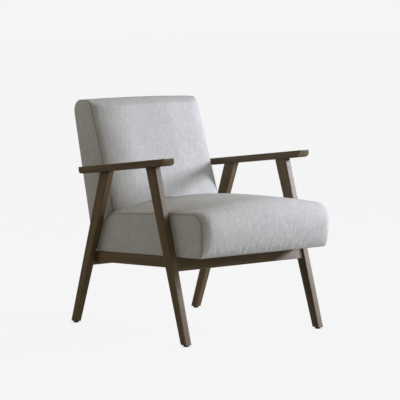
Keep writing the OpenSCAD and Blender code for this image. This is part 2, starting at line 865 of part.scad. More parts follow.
back_stations = [-1, -0.94, -0.82, -0.6, -0.35, -0.12, 0.12, 0.35, 0.6, 0.82, 0.94, 1];
front_steps = 8;
corner_steps = 5;
under_steps = 8;
tail_front = stile_front - 0.5;
tail_gap = 0.6;
// Limit of the search for the place where the front face meets the seat
steepest_turn = 88;
meet_tries = 24;
tail_low = rail_top + soft_play;

function back_loop(t) =
    let (x = t * back_half_w,
        share = 1 - pow(abs(t), 3.5),
        push = back_crown * share,
        rise = top_crown * (1 - t * t),
        turn = meet_turn(x, push, tail_gap, 0, steepest_turn, meet_tries),
        low = seat_top_point(turn, x, tail_gap),
        fc = front_arc_c(),
        rc = rear_arc_c(),
        high = fc + back_front_r * [-cos(back_front_rake), sin(back_front_rake)])
    concat(
        [for (i = [0 : front_steps - 1]) let (f = i / front_steps, z = low[1] + f * (high[1] - low[1]))
            [x, back_front_y(z) - push, z]],
        [for (i = [0 : corner_steps]) let (a = front_corner_turn(i / corner_steps), f = i / corner_steps)
            [x, fc[0] + back_front_r * cos(a) - push * (1 - f), fc[1] + back_front_r * sin(a) + rise * f]],
        [for (i = [0 : corner_steps]) let (a = rear_corner_turn(i / corner_steps), f = 1 - i / corner_steps)
            [x, rc[0] + back_rear_r * cos(a), rc[1] + back_rear_r * sin(a) + rise * f]],
        [[x, back_rear_y(tail_low), tail_low], [x, tail_front, tail_low]],
        [for (i = [0 : under_steps - 1]) let (p = seat_top_point(turn * i / under_steps, x, tail_gap))
            [x, min(p[0], tail_front), p[1]]]
    );

// The side panels are slightly full in the middle
panel_mid_z = back_base + 20;
panel_full = 1.5;
module back_form() {
    middle = [(back_front_y(panel_mid_z) + back_rear_y(panel_mid_z)) / 2, panel_mid_z];
    tip = back_half_w + panel_full;
    loops = [for (t = [len(back_stations) - 1 : -1 : 0]) back_loop(back_stations[t])];
    skinned(loops, concat([tip], middle), concat([-tip], middle));
}

// The back's inner frame

back_in = back_half_w - back_side_t;
stile_out = back_in - soft_play;
stile_foot = rail_top - stile_foot_l;
stile_in = stile_out - stile_w;
stile_mid = (stile_out + stile_in) / 2;
// The frame ends where the rounded top rear edge starts
frame_top = back_top - back_rear_r * (1 + sin(back_rear_rake)) - 2;
top_rail_h = 45;
lower_rail_z = back_base + 50;
lower_rail_h = 42;
back_dowel_l = 44;

// Front and rear faces of the stiles: parallel to the back's rear face
function stile_front_y(z) = stile_front + back_rear_k * (z - rail_top);
function stile_rear_y(z) = back_rear_y(z) - panel_t - soft_play;

// The stile's foot laps over the rear rail's front face, and stands on its top
module stile_shape() {
    notch_top = meet(rear_rail_y, rear_leg_rear_k, seat_plane, seat_m);
    polygon([
        [stile_front, stile_foot],
        [face_y(rear_rail_y, rear_leg_rear_k, stile_foot), stile_foot],
        notch_top,
        [stile_rear_y(plane_z(back_rear, 0)), plane_z(stile_rear_y(plane_z(back_rear, 0)), 0)],
        [stile_rear_y(frame_top), frame_top],
        [stile_front_y(frame_top), frame_top],
        [stile_front, rail_top]
    ]);
}

module back_dowel_set(play) {
    for (z = [frame_top - top_rail_h * 0.75, frame_top - top_rail_h * 0.25,
        lower_rail_z + lower_rail_h * 0.25, lower_rail_z + lower_rail_h * 0.75])
        rod_x([stile_in - back_dowel_l / 2 - play, (stile_front_y(z) + stile_rear_y(z)) / 2, z],
            dowel_d + 2 * play, back_dowel_l + 2 * play);
}

module right_stile() {
    difference() {
        side_bar(stile_in, stile_out) stile_shape();
        back_dowel_set(pin_play);
        bolt_holes();
    }
}
module back_left_stile() color(inner_wood) mirror([1, 0, 0]) right_stile();
module back_right_stile() color(inner_wood) right_stile();

module back_rail(z0, z1) {
    difference() {
        side_bar(-stile_in, stile_in)
            polygon([
                [stile_front_y(z0), z0], [stile_rear_y(z0), z0],
                [stile_rear_y(z1), z1], [stile_front_y(z1), z1]
            ]);
        both_sides() back_dowel_set(pin_play);
    }
}
module back_top_rail() color(inner_wood) back_rail(frame_top - top_rail_h, frame_top);
module back_lower_rail() color(inner_wood) back_rail(lower_rail_z, lower_rail_z + lower_rail_h);
module back_frame_dowels() color(inner_wood) both_sides() back_dowel_set(0);

back_web_count = 3;
module back_webbing()
    color(black)
        for (i = [0 : back_web_count - 1]) {
            low = lower_rail_z + lower_rail_h + web_w * 0.4;
            high = frame_top - top_rail_h - web_w * 0.4;
            z = low + (high - low) * i / (back_web_count - 1);
            side_bar(-stile_out, stile_out)
                polygon([
                    [stile_front_y(z - web_w / 2) - web_t, z - web_w / 2],
                    [stile_front_y(z - web_w / 2), z - web_w / 2],
                    [stile_front_y(z + web_w / 2), z + web_w / 2],
                    [stile_front_y(z + web_w / 2) - web_t, z + web_w / 2]
                ]);
        }

// The back's foam: its lower edge follows the seat's crown

back_cover_t = 9;
foam_foot = back_base - seat_rear_h * 0.67;
foam_lift = 10;
// Angles on the seat's rounded rear end that the foam's lower edge follows
foam_low_turns = [22, 40];
foam_toe_turn = 62;
// Front of the space for the stiles and the webbing
web_front_k = web_t + soft_play;

module back_foam_shape(play) {
    fc = front_arc_c();
    rc = rear_arc_c();
    front_r = back_front_r - back_cover_t + play;
    rear_r = back_rear_r - back_cover_t + play;
    inner = (back_cover_t - play) / cos(back_front_rake);
    toe = seat_top_point(foam_toe_turn, 0, foam_lift);
    polygon(concat(
        [[stile_front_y(foam_foot) - web_front_k + play, foam_foot - play]],
        [for (a = foam_low_turns) seat_top_point(a, 0, foam_lift - play)],
        [[back_front_y(toe[1] + foam_lift) + inner, toe[1] + foam_lift]],
        [for (i = [0 : corner_steps]) let (a = front_corner_turn(i / corner_steps))
            fc + front_r * [cos(a), sin(a)]],
        [for (i = [0 : corner_steps]) let (a = 90 - 90 * i / corner_steps)
            rc + rear_r * [cos(a), sin(a)]],
        [[rc[0] + rear_r, frame_top + soft_play - play],
        [stile_front_y(frame_top) - web_front_k + play, frame_top + soft_play - play]]
    ));
}
module back_foam() color(foam_yellow) side_bar(-stile_out, stile_out) back_foam_shape(0);

module back_cover()
    color(linen)
        difference() {
            back_form();
            side_bar(-back_in, back_in) back_foam_shape(soft_play);
            side_bar(-back_in, back_in)
                polygon([
                    [0, tail_low - past],
                    [back_rear_y(tail_low) + back_half_w, tail_low - past],
                    [back_rear_y(frame_top) + back_half_w, frame_top + soft_play],
                    [stile_front_y(frame_top) - web_front_k, frame_top + soft_play],
                    [stile_front_y(foam_foot) - web_front_k, foam_foot - soft_play],
                    [0, foam_foot - soft_play]
                ]);
        }

panel_low = rail_top + 5;
module back_outer_panel()
    color(linen)
        side_bar(-stile_out, stile_out)
            polygon([
                [back_rear_y(panel_low) - panel_t, panel_low], [back_rear_y(panel_low), panel_low],
                [back_rear_y(frame_top), frame_top], [back_rear_y(frame_top) - panel_t, frame_top]
            ]);

// Bolts through the stiles' feet into threaded inserts in the rear rail

bolt_first = 11;
bolt_pitch = 17;
bolt_heights = [stile_foot + bolt_first, stile_foot + bolt_first + bolt_pitch];
bolt_hole_play = 0.3;
head_d = 10;
head_h = 5;
washer_d = 14;
washer_t = 1.5;
insert_d = 10;
insert_l = 13;
insert_sink = 2;

function insert_y(z) = face_y(rear_rail_y, rear_leg_rear_k, z) + insert_sink;

module bolt_holes() for (z = bolt_heights)
    rod_y([stile_mid, stile_front - past, z], bolt_d + 2 * bolt_hole_play, wide);
// The inserts' place in the rear rail, or their holes, which start ahead of the rail
module insert_set(play, ahead) {
    for (z = bolt_heights)
        rod_y([stile_mid, insert_y(z) - ahead, z], insert_d + 2 * play, insert_l + ahead + play);
}
module back_bolts()
    color(steel)
        both_sides()
            for (z = bolt_heights) {
                rod_y([stile_mid, stile_front - washer_t - head_h, z], head_d, head_h);
                rod_y([stile_mid, stile_front - washer_t - past, z], bolt_d,
                    insert_y(z) + insert_l - stile_front);
            }
module back_washers()
    color(steel)
        both_sides()
            for (z = bolt_heights)
                difference() {
                    rod_y([stile_mid, stile_front - washer_t, z], washer_d, washer_t);
                    rod_y([stile_mid, stile_front - washer_t - past, z], bolt_d + 2 * pin_play,
                        washer_t + 2 * past);
                }
module back_inserts()
    color(steel)
        both_sides()
            difference() {
                insert_set(0, 0);
                for (z = bolt_heights)
                    rod_y([stile_mid, insert_y(z) - past, z], bolt_d + 2 * pin_play, insert_l + 2 * past);
            }

left_armrest();
right_armrest();
left_front_leg();
right_front_leg();
left_rear_leg();
right_rear_leg();
front_rail();
rear_rail();
left_side_rail();
right_side_rail();
armrest_dowels();
rail_dowels();
side_rail_dowels();
left_corner_block();
right_corner_block();
corner_block_screws();
foot_glides();
seat_front_bar();
seat_rear_bar();
seat_left_bar();
seat_right_bar();
seat_frame_dowels();
seat_brackets();
seat_bracket_screws();
seat_fixing_screws();
seat_cross_webbing();
seat_long_webbing();
seat_foam();
seat_cover();
dust_cover();
back_left_stile();
back_right_stile();
back_top_rail();
back_lower_rail();
back_frame_dowels();
back_webbing();
back_foam();
back_cover();
back_outer_panel();
back_bolts();
back_washers();
back_inserts();
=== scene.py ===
import math

import bmesh
import bpy
import numpy as np
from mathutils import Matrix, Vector
from mathutils.geometry import delaunay_2d_cdt


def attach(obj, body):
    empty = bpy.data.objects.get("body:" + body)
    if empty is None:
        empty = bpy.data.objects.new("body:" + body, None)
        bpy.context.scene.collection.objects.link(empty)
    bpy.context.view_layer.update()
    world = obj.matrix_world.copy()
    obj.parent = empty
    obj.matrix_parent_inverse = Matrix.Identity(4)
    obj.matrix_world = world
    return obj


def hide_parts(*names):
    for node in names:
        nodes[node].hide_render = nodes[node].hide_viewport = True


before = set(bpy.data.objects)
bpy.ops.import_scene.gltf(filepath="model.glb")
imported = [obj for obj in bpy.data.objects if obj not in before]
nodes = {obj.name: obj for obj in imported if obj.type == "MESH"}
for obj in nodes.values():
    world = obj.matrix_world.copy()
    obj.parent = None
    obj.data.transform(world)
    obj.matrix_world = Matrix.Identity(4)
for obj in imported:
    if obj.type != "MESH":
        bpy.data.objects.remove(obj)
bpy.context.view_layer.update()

MM = 0.001

# camera

CAM_AZ = math.radians(-39.31)
CAM_EL = math.radians(6.03)
CAM_DIST = 6.96085
CAM_TARGET = Vector((0.0, 0.0045, 0.390))
SENSOR_WIDTH, LENS = 36.0, 183.87
SHIFT_X, SHIFT_Y = 0.009675, 0.032125


def make_camera():
    forward = Vector(
        (
            -math.sin(CAM_AZ) * math.cos(CAM_EL),
            math.cos(CAM_AZ) * math.cos(CAM_EL),
            -math.sin(CAM_EL),
        )
    )
    data = bpy.data.cameras.new("photo_camera")
    data.sensor_width = SENSOR_WIDTH
    data.lens = LENS
    data.shift_x = SHIFT_X
    data.shift_y = SHIFT_Y
    obj = bpy.data.objects.new("photo_camera", data)
    bpy.context.collection.objects.link(obj)
    obj.location = CAM_TARGET - forward * CAM_DIST
    obj.rotation_euler = forward.to_track_quat("-Z", "Y").to_euler()
    bpy.context.scene.camera = obj


# node helpers


class Tree:
    """Short calls for building a material's or world's node tree."""

    def __init__(self, tree):
        self.tree = tree
        self.tree.nodes.clear()

    def node(self, kind, **values):
        n = self.tree.nodes.new(kind)
        for key, value in values.items():
            if hasattr(n, key) and key not in n.inputs:
                setattr(n, key, value)
            else:
                n.inputs[key].default_value = value
        return n

    def link(self, a, b):
        self.tree.links.new(a, b)

    def math(self, op, a, b=None, c=None, clamp=False):
        n = self.tree.nodes.new("ShaderNodeMath")
        n.operation = op
        n.use_clamp = clamp
        for i, v in enumerate((a, b, c)):
            if v is None:
                continue
            if isinstance(v, (int, float)):
                n.inputs[i].default_value = v
            else:
                self.link(v, n.inputs[i])
        return n.outputs[0]

    def ramp(self, fac, stops, mode="LINEAR"):
        n = self.tree.nodes.new("ShaderNodeValToRGB")
        n.color_ramp.interpolation = mode
        el = n.color_ramp.elements
        while len(el) < len(stops):
            el.new(0.5)
        for e, (pos, col) in zip(el, stops):
            e.position = pos
            if isinstance(col, (int, float)):
                col = (col, col, col)
            e.color = (*col, 1.0)
        self.link(fac, n.inputs[0])
        return n.outputs[0]

    def mix(self, fac, a, b, blend="MIX"):
        n = self.tree.nodes.new("ShaderNodeMix")
        n.data_type = "RGBA"
        n.blend_type = blend
        for sock, v in ((n.inputs[0], fac), (n.inputs[6], a), (n.inputs[7], b)):
            if isinstance(v, (int, float)):
                sock.default_value = v
            elif isinstance(v, tuple):
                sock.default_value = (*v, 1.0)
            else:
                self.link(v, sock)
        return n.outputs[2]

    def noise(self, vec, scale, detail, rough, dist=0.0):
        n = self.node("ShaderNodeTexNoise", Scale=scale, Detail=detail, Roughness=rough, Distortion=dist)
        self.link(vec, n.inputs["Vector"])
        return n.outputs[0]

    def blend(self, parts):
        """Sum of the outputs, each times its share."""
        total = None
        for output, share in parts:
            term = self.math("MULTIPLY", output, share)
            total = term if total is None else self.math("ADD", total, term)
        return total

    def mapping(self, vec, loc=(0, 0, 0), rot=(0, 0, 0), scale=(1, 1, 1)):
        n = self.tree.nodes.new("ShaderNodeMapping")
        n.inputs["Location"].default_value = loc
        n.inputs["Rotation"].default_value = rot
        n.inputs["Scale"].default_value = scale
        self.link(vec, n.inputs["Vector"])
        return n.outputs[0]


def new_material(name):
    m = bpy.data.materials.new(name)
    m.use_nodes = True
    t = Tree(m.node_tree)
    out = t.node("ShaderNodeOutputMaterial")
    bsdf = t.node("ShaderNodeBsdfPrincipled")
    t.link(bsdf.outputs[0], out.inputs[0])
    return m, t, bsdf


def add_bump(t, bsdf, height, strength, distance):
    b = t.node("ShaderNodeBump", Strength=strength, Distance=distance)
    t.link(height, b.inputs["Height"])
    t.link(b.outputs[0], bsdf.inputs["Normal"])


def set_material(obj, mat):
    obj.data.materials.clear()
    obj.data.materials.append(mat)


# materials


# repeats per metre: along the grain, then across it twice
BROAD_GRAIN = (1.1, 24.0, 24.0)
BANDS = (1.8, 95.0, 95.0)
FINE_GRAIN = (7.0, 420.0, 420.0)
PORES = (22.0, 1300.0, 1300.0)
LACQUERED, PLANED = 0.40, 0.6


def wood(name, turns, seed, dark, light, rough):
    """Timber whose grain runs along X once its coordinates have made the turns, one by one."""
    m, t, bsdf = new_material(name)
    turned = t.node("ShaderNodeTexCoord").outputs["Object"]
    for turn in turns:
        turned = t.mapping(turned, rot=turn)
    placed = t.mapping(turned, loc=(seed * 0.37, seed * 0.71, seed * 0.53))
    broad = t.noise(t.mapping(placed, scale=BROAD_GRAIN), 1.0, 3.0, 0.55, 0.4)
    bands = t.noise(t.mapping(placed, scale=BANDS), 1.0, 2.0, 0.5, 0.3)
    fine = t.noise(t.mapping(placed, scale=FINE_GRAIN), 1.0, 2.0, 0.6)
    pores = t.noise(t.mapping(placed, scale=PORES), 1.0, 1.0, 0.5)
    pores = t.ramp(pores, [(0.34, 0.0), (0.46, 1.0)])
    mixed = t.blend([(broad, 0.42), (bands, 0.34), (fine, 0.24)])
    base = t.ramp(mixed, [(0.30, dark), (0.70, light)])
    in_pores = t.math("MULTIPLY", t.math("SUBTRACT", 1.0, pores), 0.40)
    base = t.mix(in_pores, base, tuple(c * 0.5 for c in dark))
    # painted edge highlight: the stain made a little paler, unevenly, along the convex edges
    edge = t.math("SUBTRACT", t.node("ShaderNodeNewGeometry").outputs["Pointiness"], 0.5)
    painted_edge_light = t.math("MULTIPLY", t.math("MULTIPLY", edge, 2.5, clamp=True), fine)
    base = t.mix(painted_edge_light, base, tuple(min(1.0, c * 1.4) for c in light))
    t.link(base, bsdf.inputs["Base Color"])
    t.link(t.math("ADD", t.math("MULTIPLY", fine, 0.12), rough - 0.06), bsdf.inputs["Roughness"])
    bsdf.inputs["IOR"].default_value = 1.5
    bsdf.inputs["Specular IOR Level"].default_value = 0.38
    add_bump(t, bsdf, t.blend([(fine, 0.5), (pores, 0.5)]), 0.25, 0.4 * MM)
    return m


# repeats per metre: streaks along a thread, slubs, blotches and broad patches
UPRIGHT_STREAKS, ACROSS_STREAKS = 24.0, 20.0
SLUBS, BLOTCHES, PATCHES = (170.0, 26.0, 1.0), (105.0, 85.0, 90.0), (9.0, 7.0, 9.0)
# a streak's width and how far a thread wanders, in threads
STREAK_WIDTH, WANDER = 2.6, 1.6
# shares of the parts in a fabric's tone, and the tones at which it is darkest and palest
YARN_SHARE, WEAVE_SHARE, PATCH_SHARE = 0.62, 0.14, 0.10
TONE_LOW, TONE_HIGH = 0.30, 0.62
# how dark the painted shade along the seams is
SEAM_SHADE = 0.40


def fabric(name, light, dark, thread=0.9 * MM, uv=True, sheen=0.25):
    """Plain weave: two sets of threads of uneven thickness, in cloth or in object coordinates."""
    m, t, bsdf = new_material(name)
    tex = t.node("ShaderNodeTexCoord")
    coord = tex.outputs["UV"] if uv else tex.outputs["Object"]
    # the threads wander a little
    wander = t.node("ShaderNodeTexNoise", Scale=60.0, Detail=2.0)
    t.link(coord, wander.inputs["Vector"])
    centred = t.node("ShaderNodeVectorMath", operation="SUBTRACT")
    t.link(wander.outputs["Color"], centred.inputs[0])
    centred.inputs[1].default_value = (0.5, 0.5, 0.5)
    small = t.node("ShaderNodeVectorMath", operation="SCALE")
    small.inputs["Scale"].default_value = thread * WANDER
    t.link(centred.outputs[0], small.inputs[0])
    moved = t.node("ShaderNodeVectorMath", operation="ADD")
    t.link(coord, moved.inputs[0])
    t.link(small.outputs[0], moved.inputs[1])
    split = t.node("ShaderNodeSeparateXYZ")
    t.link(moved.outputs[0], split.inputs[0])
    u, v = split.outputs[0], split.outputs[1]
    k = math.pi / thread
    su = t.math("ABSOLUTE", t.math("SINE", t.math("MULTIPLY", u, k)))
    sv = t.math("ABSOLUTE", t.math("SINE", t.math("MULTIPLY", v, k)))
    over = t.math("SINE", t.math("MULTIPLY", u, k))
    over = t.math("MULTIPLY", over, t.math("SINE", t.math("MULTIPLY", v, k)))
    pick = t.math("GREATER_THAN", over, 0.0)
    under = t.math("SUBTRACT", 1.0, pick)
    weave = t.math("ADD", t.math("MULTIPLY", su, pick), t.math("MULTIPLY", sv, under))
    # uneven yarns
    narrow = 1 / (thread * STREAK_WIDTH)
    upright = t.noise(t.mapping(coord, scale=(narrow, UPRIGHT_STREAKS, 1.0)), 1.0, 2.0, 0.6)
    across = t.noise(t.mapping(coord, scale=(ACROSS_STREAKS, narrow, 1.0)), 1.0, 2.0, 0.6)
    slubs = t.noise(t.mapping(coord, scale=SLUBS, loc=(3.1, 1.7, 0)), 1.0, 3.0, 0.65)
    blotches = t.noise(t.mapping(coord, scale=BLOTCHES, loc=(7.3, 2.9, 0)), 1.0, 3.0, 0.7)
    patches = t.noise(t.mapping(coord, scale=PATCHES, loc=(1.3, 5.9, 2.2)), 1.0, 3.0, 0.55)
    yarn = t.blend([(upright, 0.24), (across, 0.18), (slubs, 0.30), (blotches, 0.28)])
    tone = t.blend([(yarn, YARN_SHARE), (weave, WEAVE_SHARE), (patches, PATCH_SHARE)])
    col = t.ramp(tone, [(TONE_LOW, dark), (TONE_HIGH, light)])
    if uv:
        # painted shade along the seams: darkest on the seam line, gone 2 mm from it
        depth = t.node("ShaderNodeAttribute", attribute_name="seam_depth").outputs["Fac"]
        line = t.ramp(t.math("MULTIPLY", depth, 0.1), [(0.0, 1.0), (0.10, 0.85), (0.20, 0.0)], "EASE")
        col = t.mix(t.math("MULTIPLY", line, SEAM_SHADE), col, tuple(c * 0.30 for c in dark))
    t.link(col, bsdf.inputs["Base Color"])
    bsdf.inputs["Roughness"].default_value = 0.88
    bsdf.inputs["IOR"].default_value = 1.45
    bsdf.inputs["Specular IOR Level"].default_value = 0.25
    bsdf.inputs["Sheen Weight"].default_value = sheen
    bsdf.inputs["Sheen Roughness"].default_value = 0.45
    bsdf.inputs["Sheen Tint"].default_value = (0.95, 0.93, 0.9, 1.0)
    add_bump(t, bsdf, t.blend([(weave, 0.6), (yarn, 0.8)]), 0.45, 0.6 * MM)
    return m


def mottled(name, noise, tones, rough, relief, metallic=0.0):
    """A material with one noise: it sets the tone, a part of the roughness and the relief."""
    m, t, bsdf = new_material(name)
    n = t.noise(t.node("ShaderNodeTexCoord").outputs["Object"], *noise)
    t.link(t.ramp(n, [(0.3, tones[0]), (0.7, tones[1])]), bsdf.inputs["Base Color"])
    t.link(t.math("ADD", t.math("MULTIPLY", n, rough[1]), rough[0]), bsdf.inputs["Roughness"])
    bsdf.inputs["Metallic"].default_value = metallic
    add_bump(t, bsdf, n, *relief)
    return m


linen = fabric("linen", (0.77, 0.765, 0.75), (0.40, 0.395, 0.38))
lining = fabric("lining", (0.045, 0.045, 0.045), (0.02, 0.02, 0.02), thread=0.6 * MM, uv=False, sheen=0.1)
strap = fabric("strap", (0.12, 0.12, 0.12), (0.05, 0.05, 0.05), thread=1.6 * MM, uv=False, sheen=0.1)
# noise: repeats per metre, detail, fineness; rough: least, what the noise adds; relief: strength, height
STEEL_TONES = (0.45, 0.46, 0.48), (0.66, 0.67, 0.69)
BLACK_TONES = (0.024, 0.024, 0.024), (0.03, 0.03, 0.03)
FOAM_TONES = (0.62, 0.56, 0.38), (0.80, 0.74, 0.55)
steel = mottled("zinc_steel", (260.0, 3.0, 0.6), STEEL_TONES, (0.25, 0.2), (0.1, 0.2 * MM), 1.0)
black = mottled("black_plastic", (900.0, 2.0, 0.6), BLACK_TONES, (0.55, 0.0), (0.2, 0.2 * MM))
foam = mottled("foam", (420.0, 3.0, 0.7), FOAM_TONES, (0.95, 0.0), (0.5, 0.8 * MM))

STAIN_DARK = (0.062, 0.041, 0.019)
STAIN_LIGHT = (0.235, 0.164, 0.082)
INNER_DARK = (0.50, 0.36, 0.21)
INNER_LIGHT = (0.72, 0.57, 0.38)

# timber and small parts

FRONT_LEG_LEAN, REAR_LEG_LEAN = math.radians(17.6), math.radians(-19.8)
ARM_SLOPE = math.radians(6.84)
ALONG_X = ((0, 0, 0),)
ALONG_Y = ((0, 0, math.radians(-90)),)
ALONG_Z = ((0, math.radians(90), 0),)
# turns of the texture that lay its X axis along each timber
TURNS = {"front_rail": ALONG_X, "rear_rail": ALONG_X}
for side in ("left", "right"):
    TURNS[side + "_side_rail"] = ALONG_Y
    TURNS[side + "_armrest"] = ((ARM_SLOPE, 0, math.radians(-90)),)
    TURNS[side + "_front_leg"] = ((FRONT_LEG_LEAN, 0, 0), *ALONG_Z)
    TURNS[side + "_rear_leg"] = ((REAR_LEG_LEAN, 0, 0), *ALONG_Z)

LEG_TONE, ARM_TONE = 0.98, 0.84
LEG_BEVEL, ARM_BEVEL = 2.0 * MM, 3.2 * MM
BEVEL_STEPS = 3
# the bevel takes convex edges longer and sharper than these
OUTER_EDGE, SHARP = 12.0 * MM, math.radians(32)
SAME_SPOT, BEVEL_SPOT = 0.02 * MM, 0.04 * MM


def edge_key(a, b):
    """The edge's ends to a tenth of a millimetre, in either order."""
    return frozenset(tuple(round(c, 4) for c in v) for v in (a, b))


def mark_outer_edges(obj):
    """Weights for the bevel: 1 on the long outer edges, 0 on the rims of holes and all else."""
    mesh = obj.data
    work = bmesh.new()
    work.from_mesh(mesh)
    bmesh.ops.remove_doubles(work, verts=work.verts, dist=SAME_SPOT)
    marked = set()
    for e in work.edges:
        if len(e.link_faces) == 2 and e.is_convex and e.calc_length() > OUTER_EDGE:
            if e.calc_face_angle() > SHARP:
                marked.add(edge_key(e.verts[0].co, e.verts[1].co))
    work.free()
    weight = mesh.attributes.new("bevel_weight_edge", "FLOAT", "EDGE")
    for i, e in enumerate(mesh.edges):
        a, b = (mesh.vertices[v].co for v in e.vertices)
        weight.data[i].value = 1.0 if edge_key(a, b) in marked else 0.0


def finish_timber(name, mat, bevel):
    obj = nodes[name]
    set_material(obj, mat)
    mark_outer_edges(obj)
    weld = obj.modifiers.new("weld", "WELD")
    weld.merge_threshold = SAME_SPOT
    bev = obj.modifiers.new("bevel", "BEVEL")
    bev.width = bevel
    bev.segments = BEVEL_STEPS
    bev.limit_method = "WEIGHT"
    bev.use_clamp_overlap = True
    # joins the corners that the bevel leaves on one spot
    join = obj.modifiers.new("join", "WELD")
    join.merge_threshold = BEVEL_SPOT
    normals = obj.modifiers.new("normals", "WEIGHTED_NORMAL")
    normals.weight = 60


for i, name in enumerate(sorted(TURNS)):
    arm = "armrest" in name
    tone = ARM_TONE if arm else LEG_TONE
    dark, light = [c * tone for c in STAIN_DARK], [c * tone for c in STAIN_LIGHT]
    mat = wood("stained_timber_" + name, TURNS[name], i + 1, dark, light, LACQUERED)
    finish_timber(name, mat, ARM_BEVEL if arm else LEG_BEVEL)

along_x = wood("plain_timber_x", ALONG_X, 21, INNER_DARK, INNER_LIGHT, PLANED)
along_y = wood("plain_timber_y", ALONG_Y, 22, INNER_DARK, INNER_LIGHT, PLANED)
along_z = wood("plain_timber_z", ALONG_Z, 23, INNER_DARK, INNER_LIGHT, PLANED)
for name in ("seat_front_bar", "seat_rear_bar", "back_top_rail", "back_lower_rail", "rail_dowels",
             "back_frame_dowels"):
    set_material(nodes[name], along_x)
for name in ("seat_left_bar", "seat_right_bar", "side_rail_dowels", "seat_frame_dowels",
             "left_corner_block", "right_corner_block"):
    set_material(nodes[name], along_y)
for name in ("back_left_stile", "back_right_stile", "armrest_dowels"):
    set_material(nodes[name], along_z)
for name in ("corner_block_screws", "seat_brackets", "seat_bracket_screws", "seat_fixing_screws",
             "back_bolts", "back_washers", "back_inserts"):
    set_material(nodes[name], steel)
set_material(nodes["foot_glides"], black)

# soft pieces' geometry

# lengths are in mm, as in the solids
# the seat has its own axes: x across, s rearwards along its underside, w up from it
# its underside is at the height PLANE where y is 0, and tilted by TILT
TILT, PLANE = math.radians(3.0), 269.0
# the side frames close in by the angle TOE; at TOE_Y they are LEG_HALF from the middle
TOE, TOE_Y, LEG_HALF = math.radians(1.83), -295.5, 300.0
LEG_T = 23.0


def clear_half(y):
    """Half the width between the side frames, which close in towards the rear."""
    return LEG_HALF - LEG_T / math.cos(TOE) - math.tan(TOE) * (y - TOE_Y)


RAIL_TOP_Y, RAIL_TOP = 240.2, 256.4
STILE_FRONT = RAIL_TOP_Y - 12.0
SEAT_REAR = STILE_FRONT - 2.0
SEAT_FRONT = 362.0
SEAT_GAP = 5.5
# heights of the side seam, and radii of its front and rear roundings
SEAT_H, SEAT_REAR_H = 142.0, 132.5
NOSE_R, TAIL_R = 46.0, 118.0
# how far the top, the front and the sides stand out from the seams; SWELL adds to the top's middle
CROWN, SWELL, FRONT_BULGE, SIDE_BULGE = 40.0, 0.3, 25.0, 3.6
# depth and roundness of the front's lower corner
LOWER_D, LOWER_N = 14.0, 2.6
# the band's half width, by which distances from the seams are reckoned
HALF_REF = 270.0
# the cover's lowest edge, and the share of the seam's roll that is left at the rear
SEAT_LOW, REAR_ROLL = 0.4, 0.1
NOSE_C = np.array([-SEAT_FRONT + NOSE_R, SEAT_H - NOSE_R])
TAIL_C = np.array([SEAT_REAR - TAIL_R, SEAT_REAR_H - TAIL_R])
TOP_S, TOP_W = TAIL_C - NOSE_C
TOP_TURN = math.degrees(math.atan2(TOP_W, TOP_S) + math.acos((NOSE_R - TAIL_R) / np.hypot(TOP_S, TOP_W)))
# distance between the cloth's points, and between those in the middle of a side panel
STEP, FILL_STEP = 5.0, 8.0


def smooth(t):
    """A smooth step from 0 to 1."""
    u = np.clip(t, 0.0, 1.0)
    return u * u * (3 - 2 * u)


def ray(a):
    """Direction at an angle in degrees."""
    return np.array([math.cos(math.radians(a)), math.sin(math.radians(a))])


def roll(d, r):
    """Rounding next to a seam: 0 on it, 1 from r on."""
    q = np.clip(d / r, 0, 1)
    return np.sqrt(np.clip(1 - (1 - q) ** 2, 0, 1))


def seat_half(s):
    return clear_half(s) - SEAT_GAP


def seat_to_world(x, s, w):
    """From the seat's own axes to metres in the part's frame."""
    x, s, w = np.broadcast_arrays(x, s, w)
    y = s * math.cos(TILT) + w * math.sin(TILT)
    z = PLANE + w * math.cos(TILT) - s * math.sin(TILT)
    return np.stack([x, y, z], -1) * MM


CROWN_EXP, CROWN_SOFT = 0.85, 0.01


def crown_share(t):
    """Share of the crown at a place across: 1 in the middle, 0 at the sides."""
    top = (1 + CROWN_SOFT) ** CROWN_EXP
    return (top - (t * t + CROWN_SOFT) ** CROWN_EXP) / (top - CROWN_SOFT**CROWN_EXP)


def crown_start(a):
    """The crown's growth over the rear rounding: 0 up to 8 degrees, 1 from 72 degrees on."""
    return smooth((a - 8) / 64)


def seat_outline():
    """Side seam from the rear bottom corner over the top to the front bottom corner.

    Rows: s, w, push in s, push in w, 1 where the front's crown applies, strength of the roll.
    They are resampled later, so their number hardly matters."""
    foot = np.linspace(SEAT_LOW, TAIL_C[1], 5)[:-1]
    rows = [[SEAT_REAR, w, 0.0, 0.0, 0.0, REAR_ROLL] for w in foot]
    for a in np.linspace(0, TOP_TURN, 90):
        n = ray(a)
        g = crown_start(a)
        rows.append([*(TAIL_C + TAIL_R * n), *(CROWN * g * n), 0.0, REAR_ROLL + (1 - REAR_ROLL) * g])
    n = ray(TOP_TURN)
    a0, a1 = TAIL_C + TAIL_R * n, NOSE_C + NOSE_R * n
    for f in np.linspace(0, 1, 90)[1:-1]:
        push = CROWN * (1 + 4 * SWELL * f * (1 - f)) * n
        rows.append([*(a0 + (a1 - a0) * f), *push, 0.0, 1.0])
    for a in np.linspace(TOP_TURN, 180, 70):
        n = ray(a)
        f = smooth((a - TOP_TURN) / (180 - TOP_TURN))
        push = (CROWN * (1 - f) + FRONT_BULGE * f) * n
        rows.append([*(NOSE_C + NOSE_R * n), *push, f, 1.0])
    h = NOSE_C[1]
    for a in np.linspace(0, 90, 90)[1:]:
        c, sn = max(0.0, math.cos(math.radians(a))), math.sin(math.radians(a))
        u, v = c ** (2 / LOWER_N) * LOWER_D, sn ** (2 / LOWER_N) * h
        fade = 1 - (v / h) ** 2
        at = [-SEAT_FRONT + LOWER_D - u, max(h - v, SEAT_LOW)]
        rows.append([*at, -FRONT_BULGE * fade, 0.0, 1.0, fade])
    return np.array(rows)


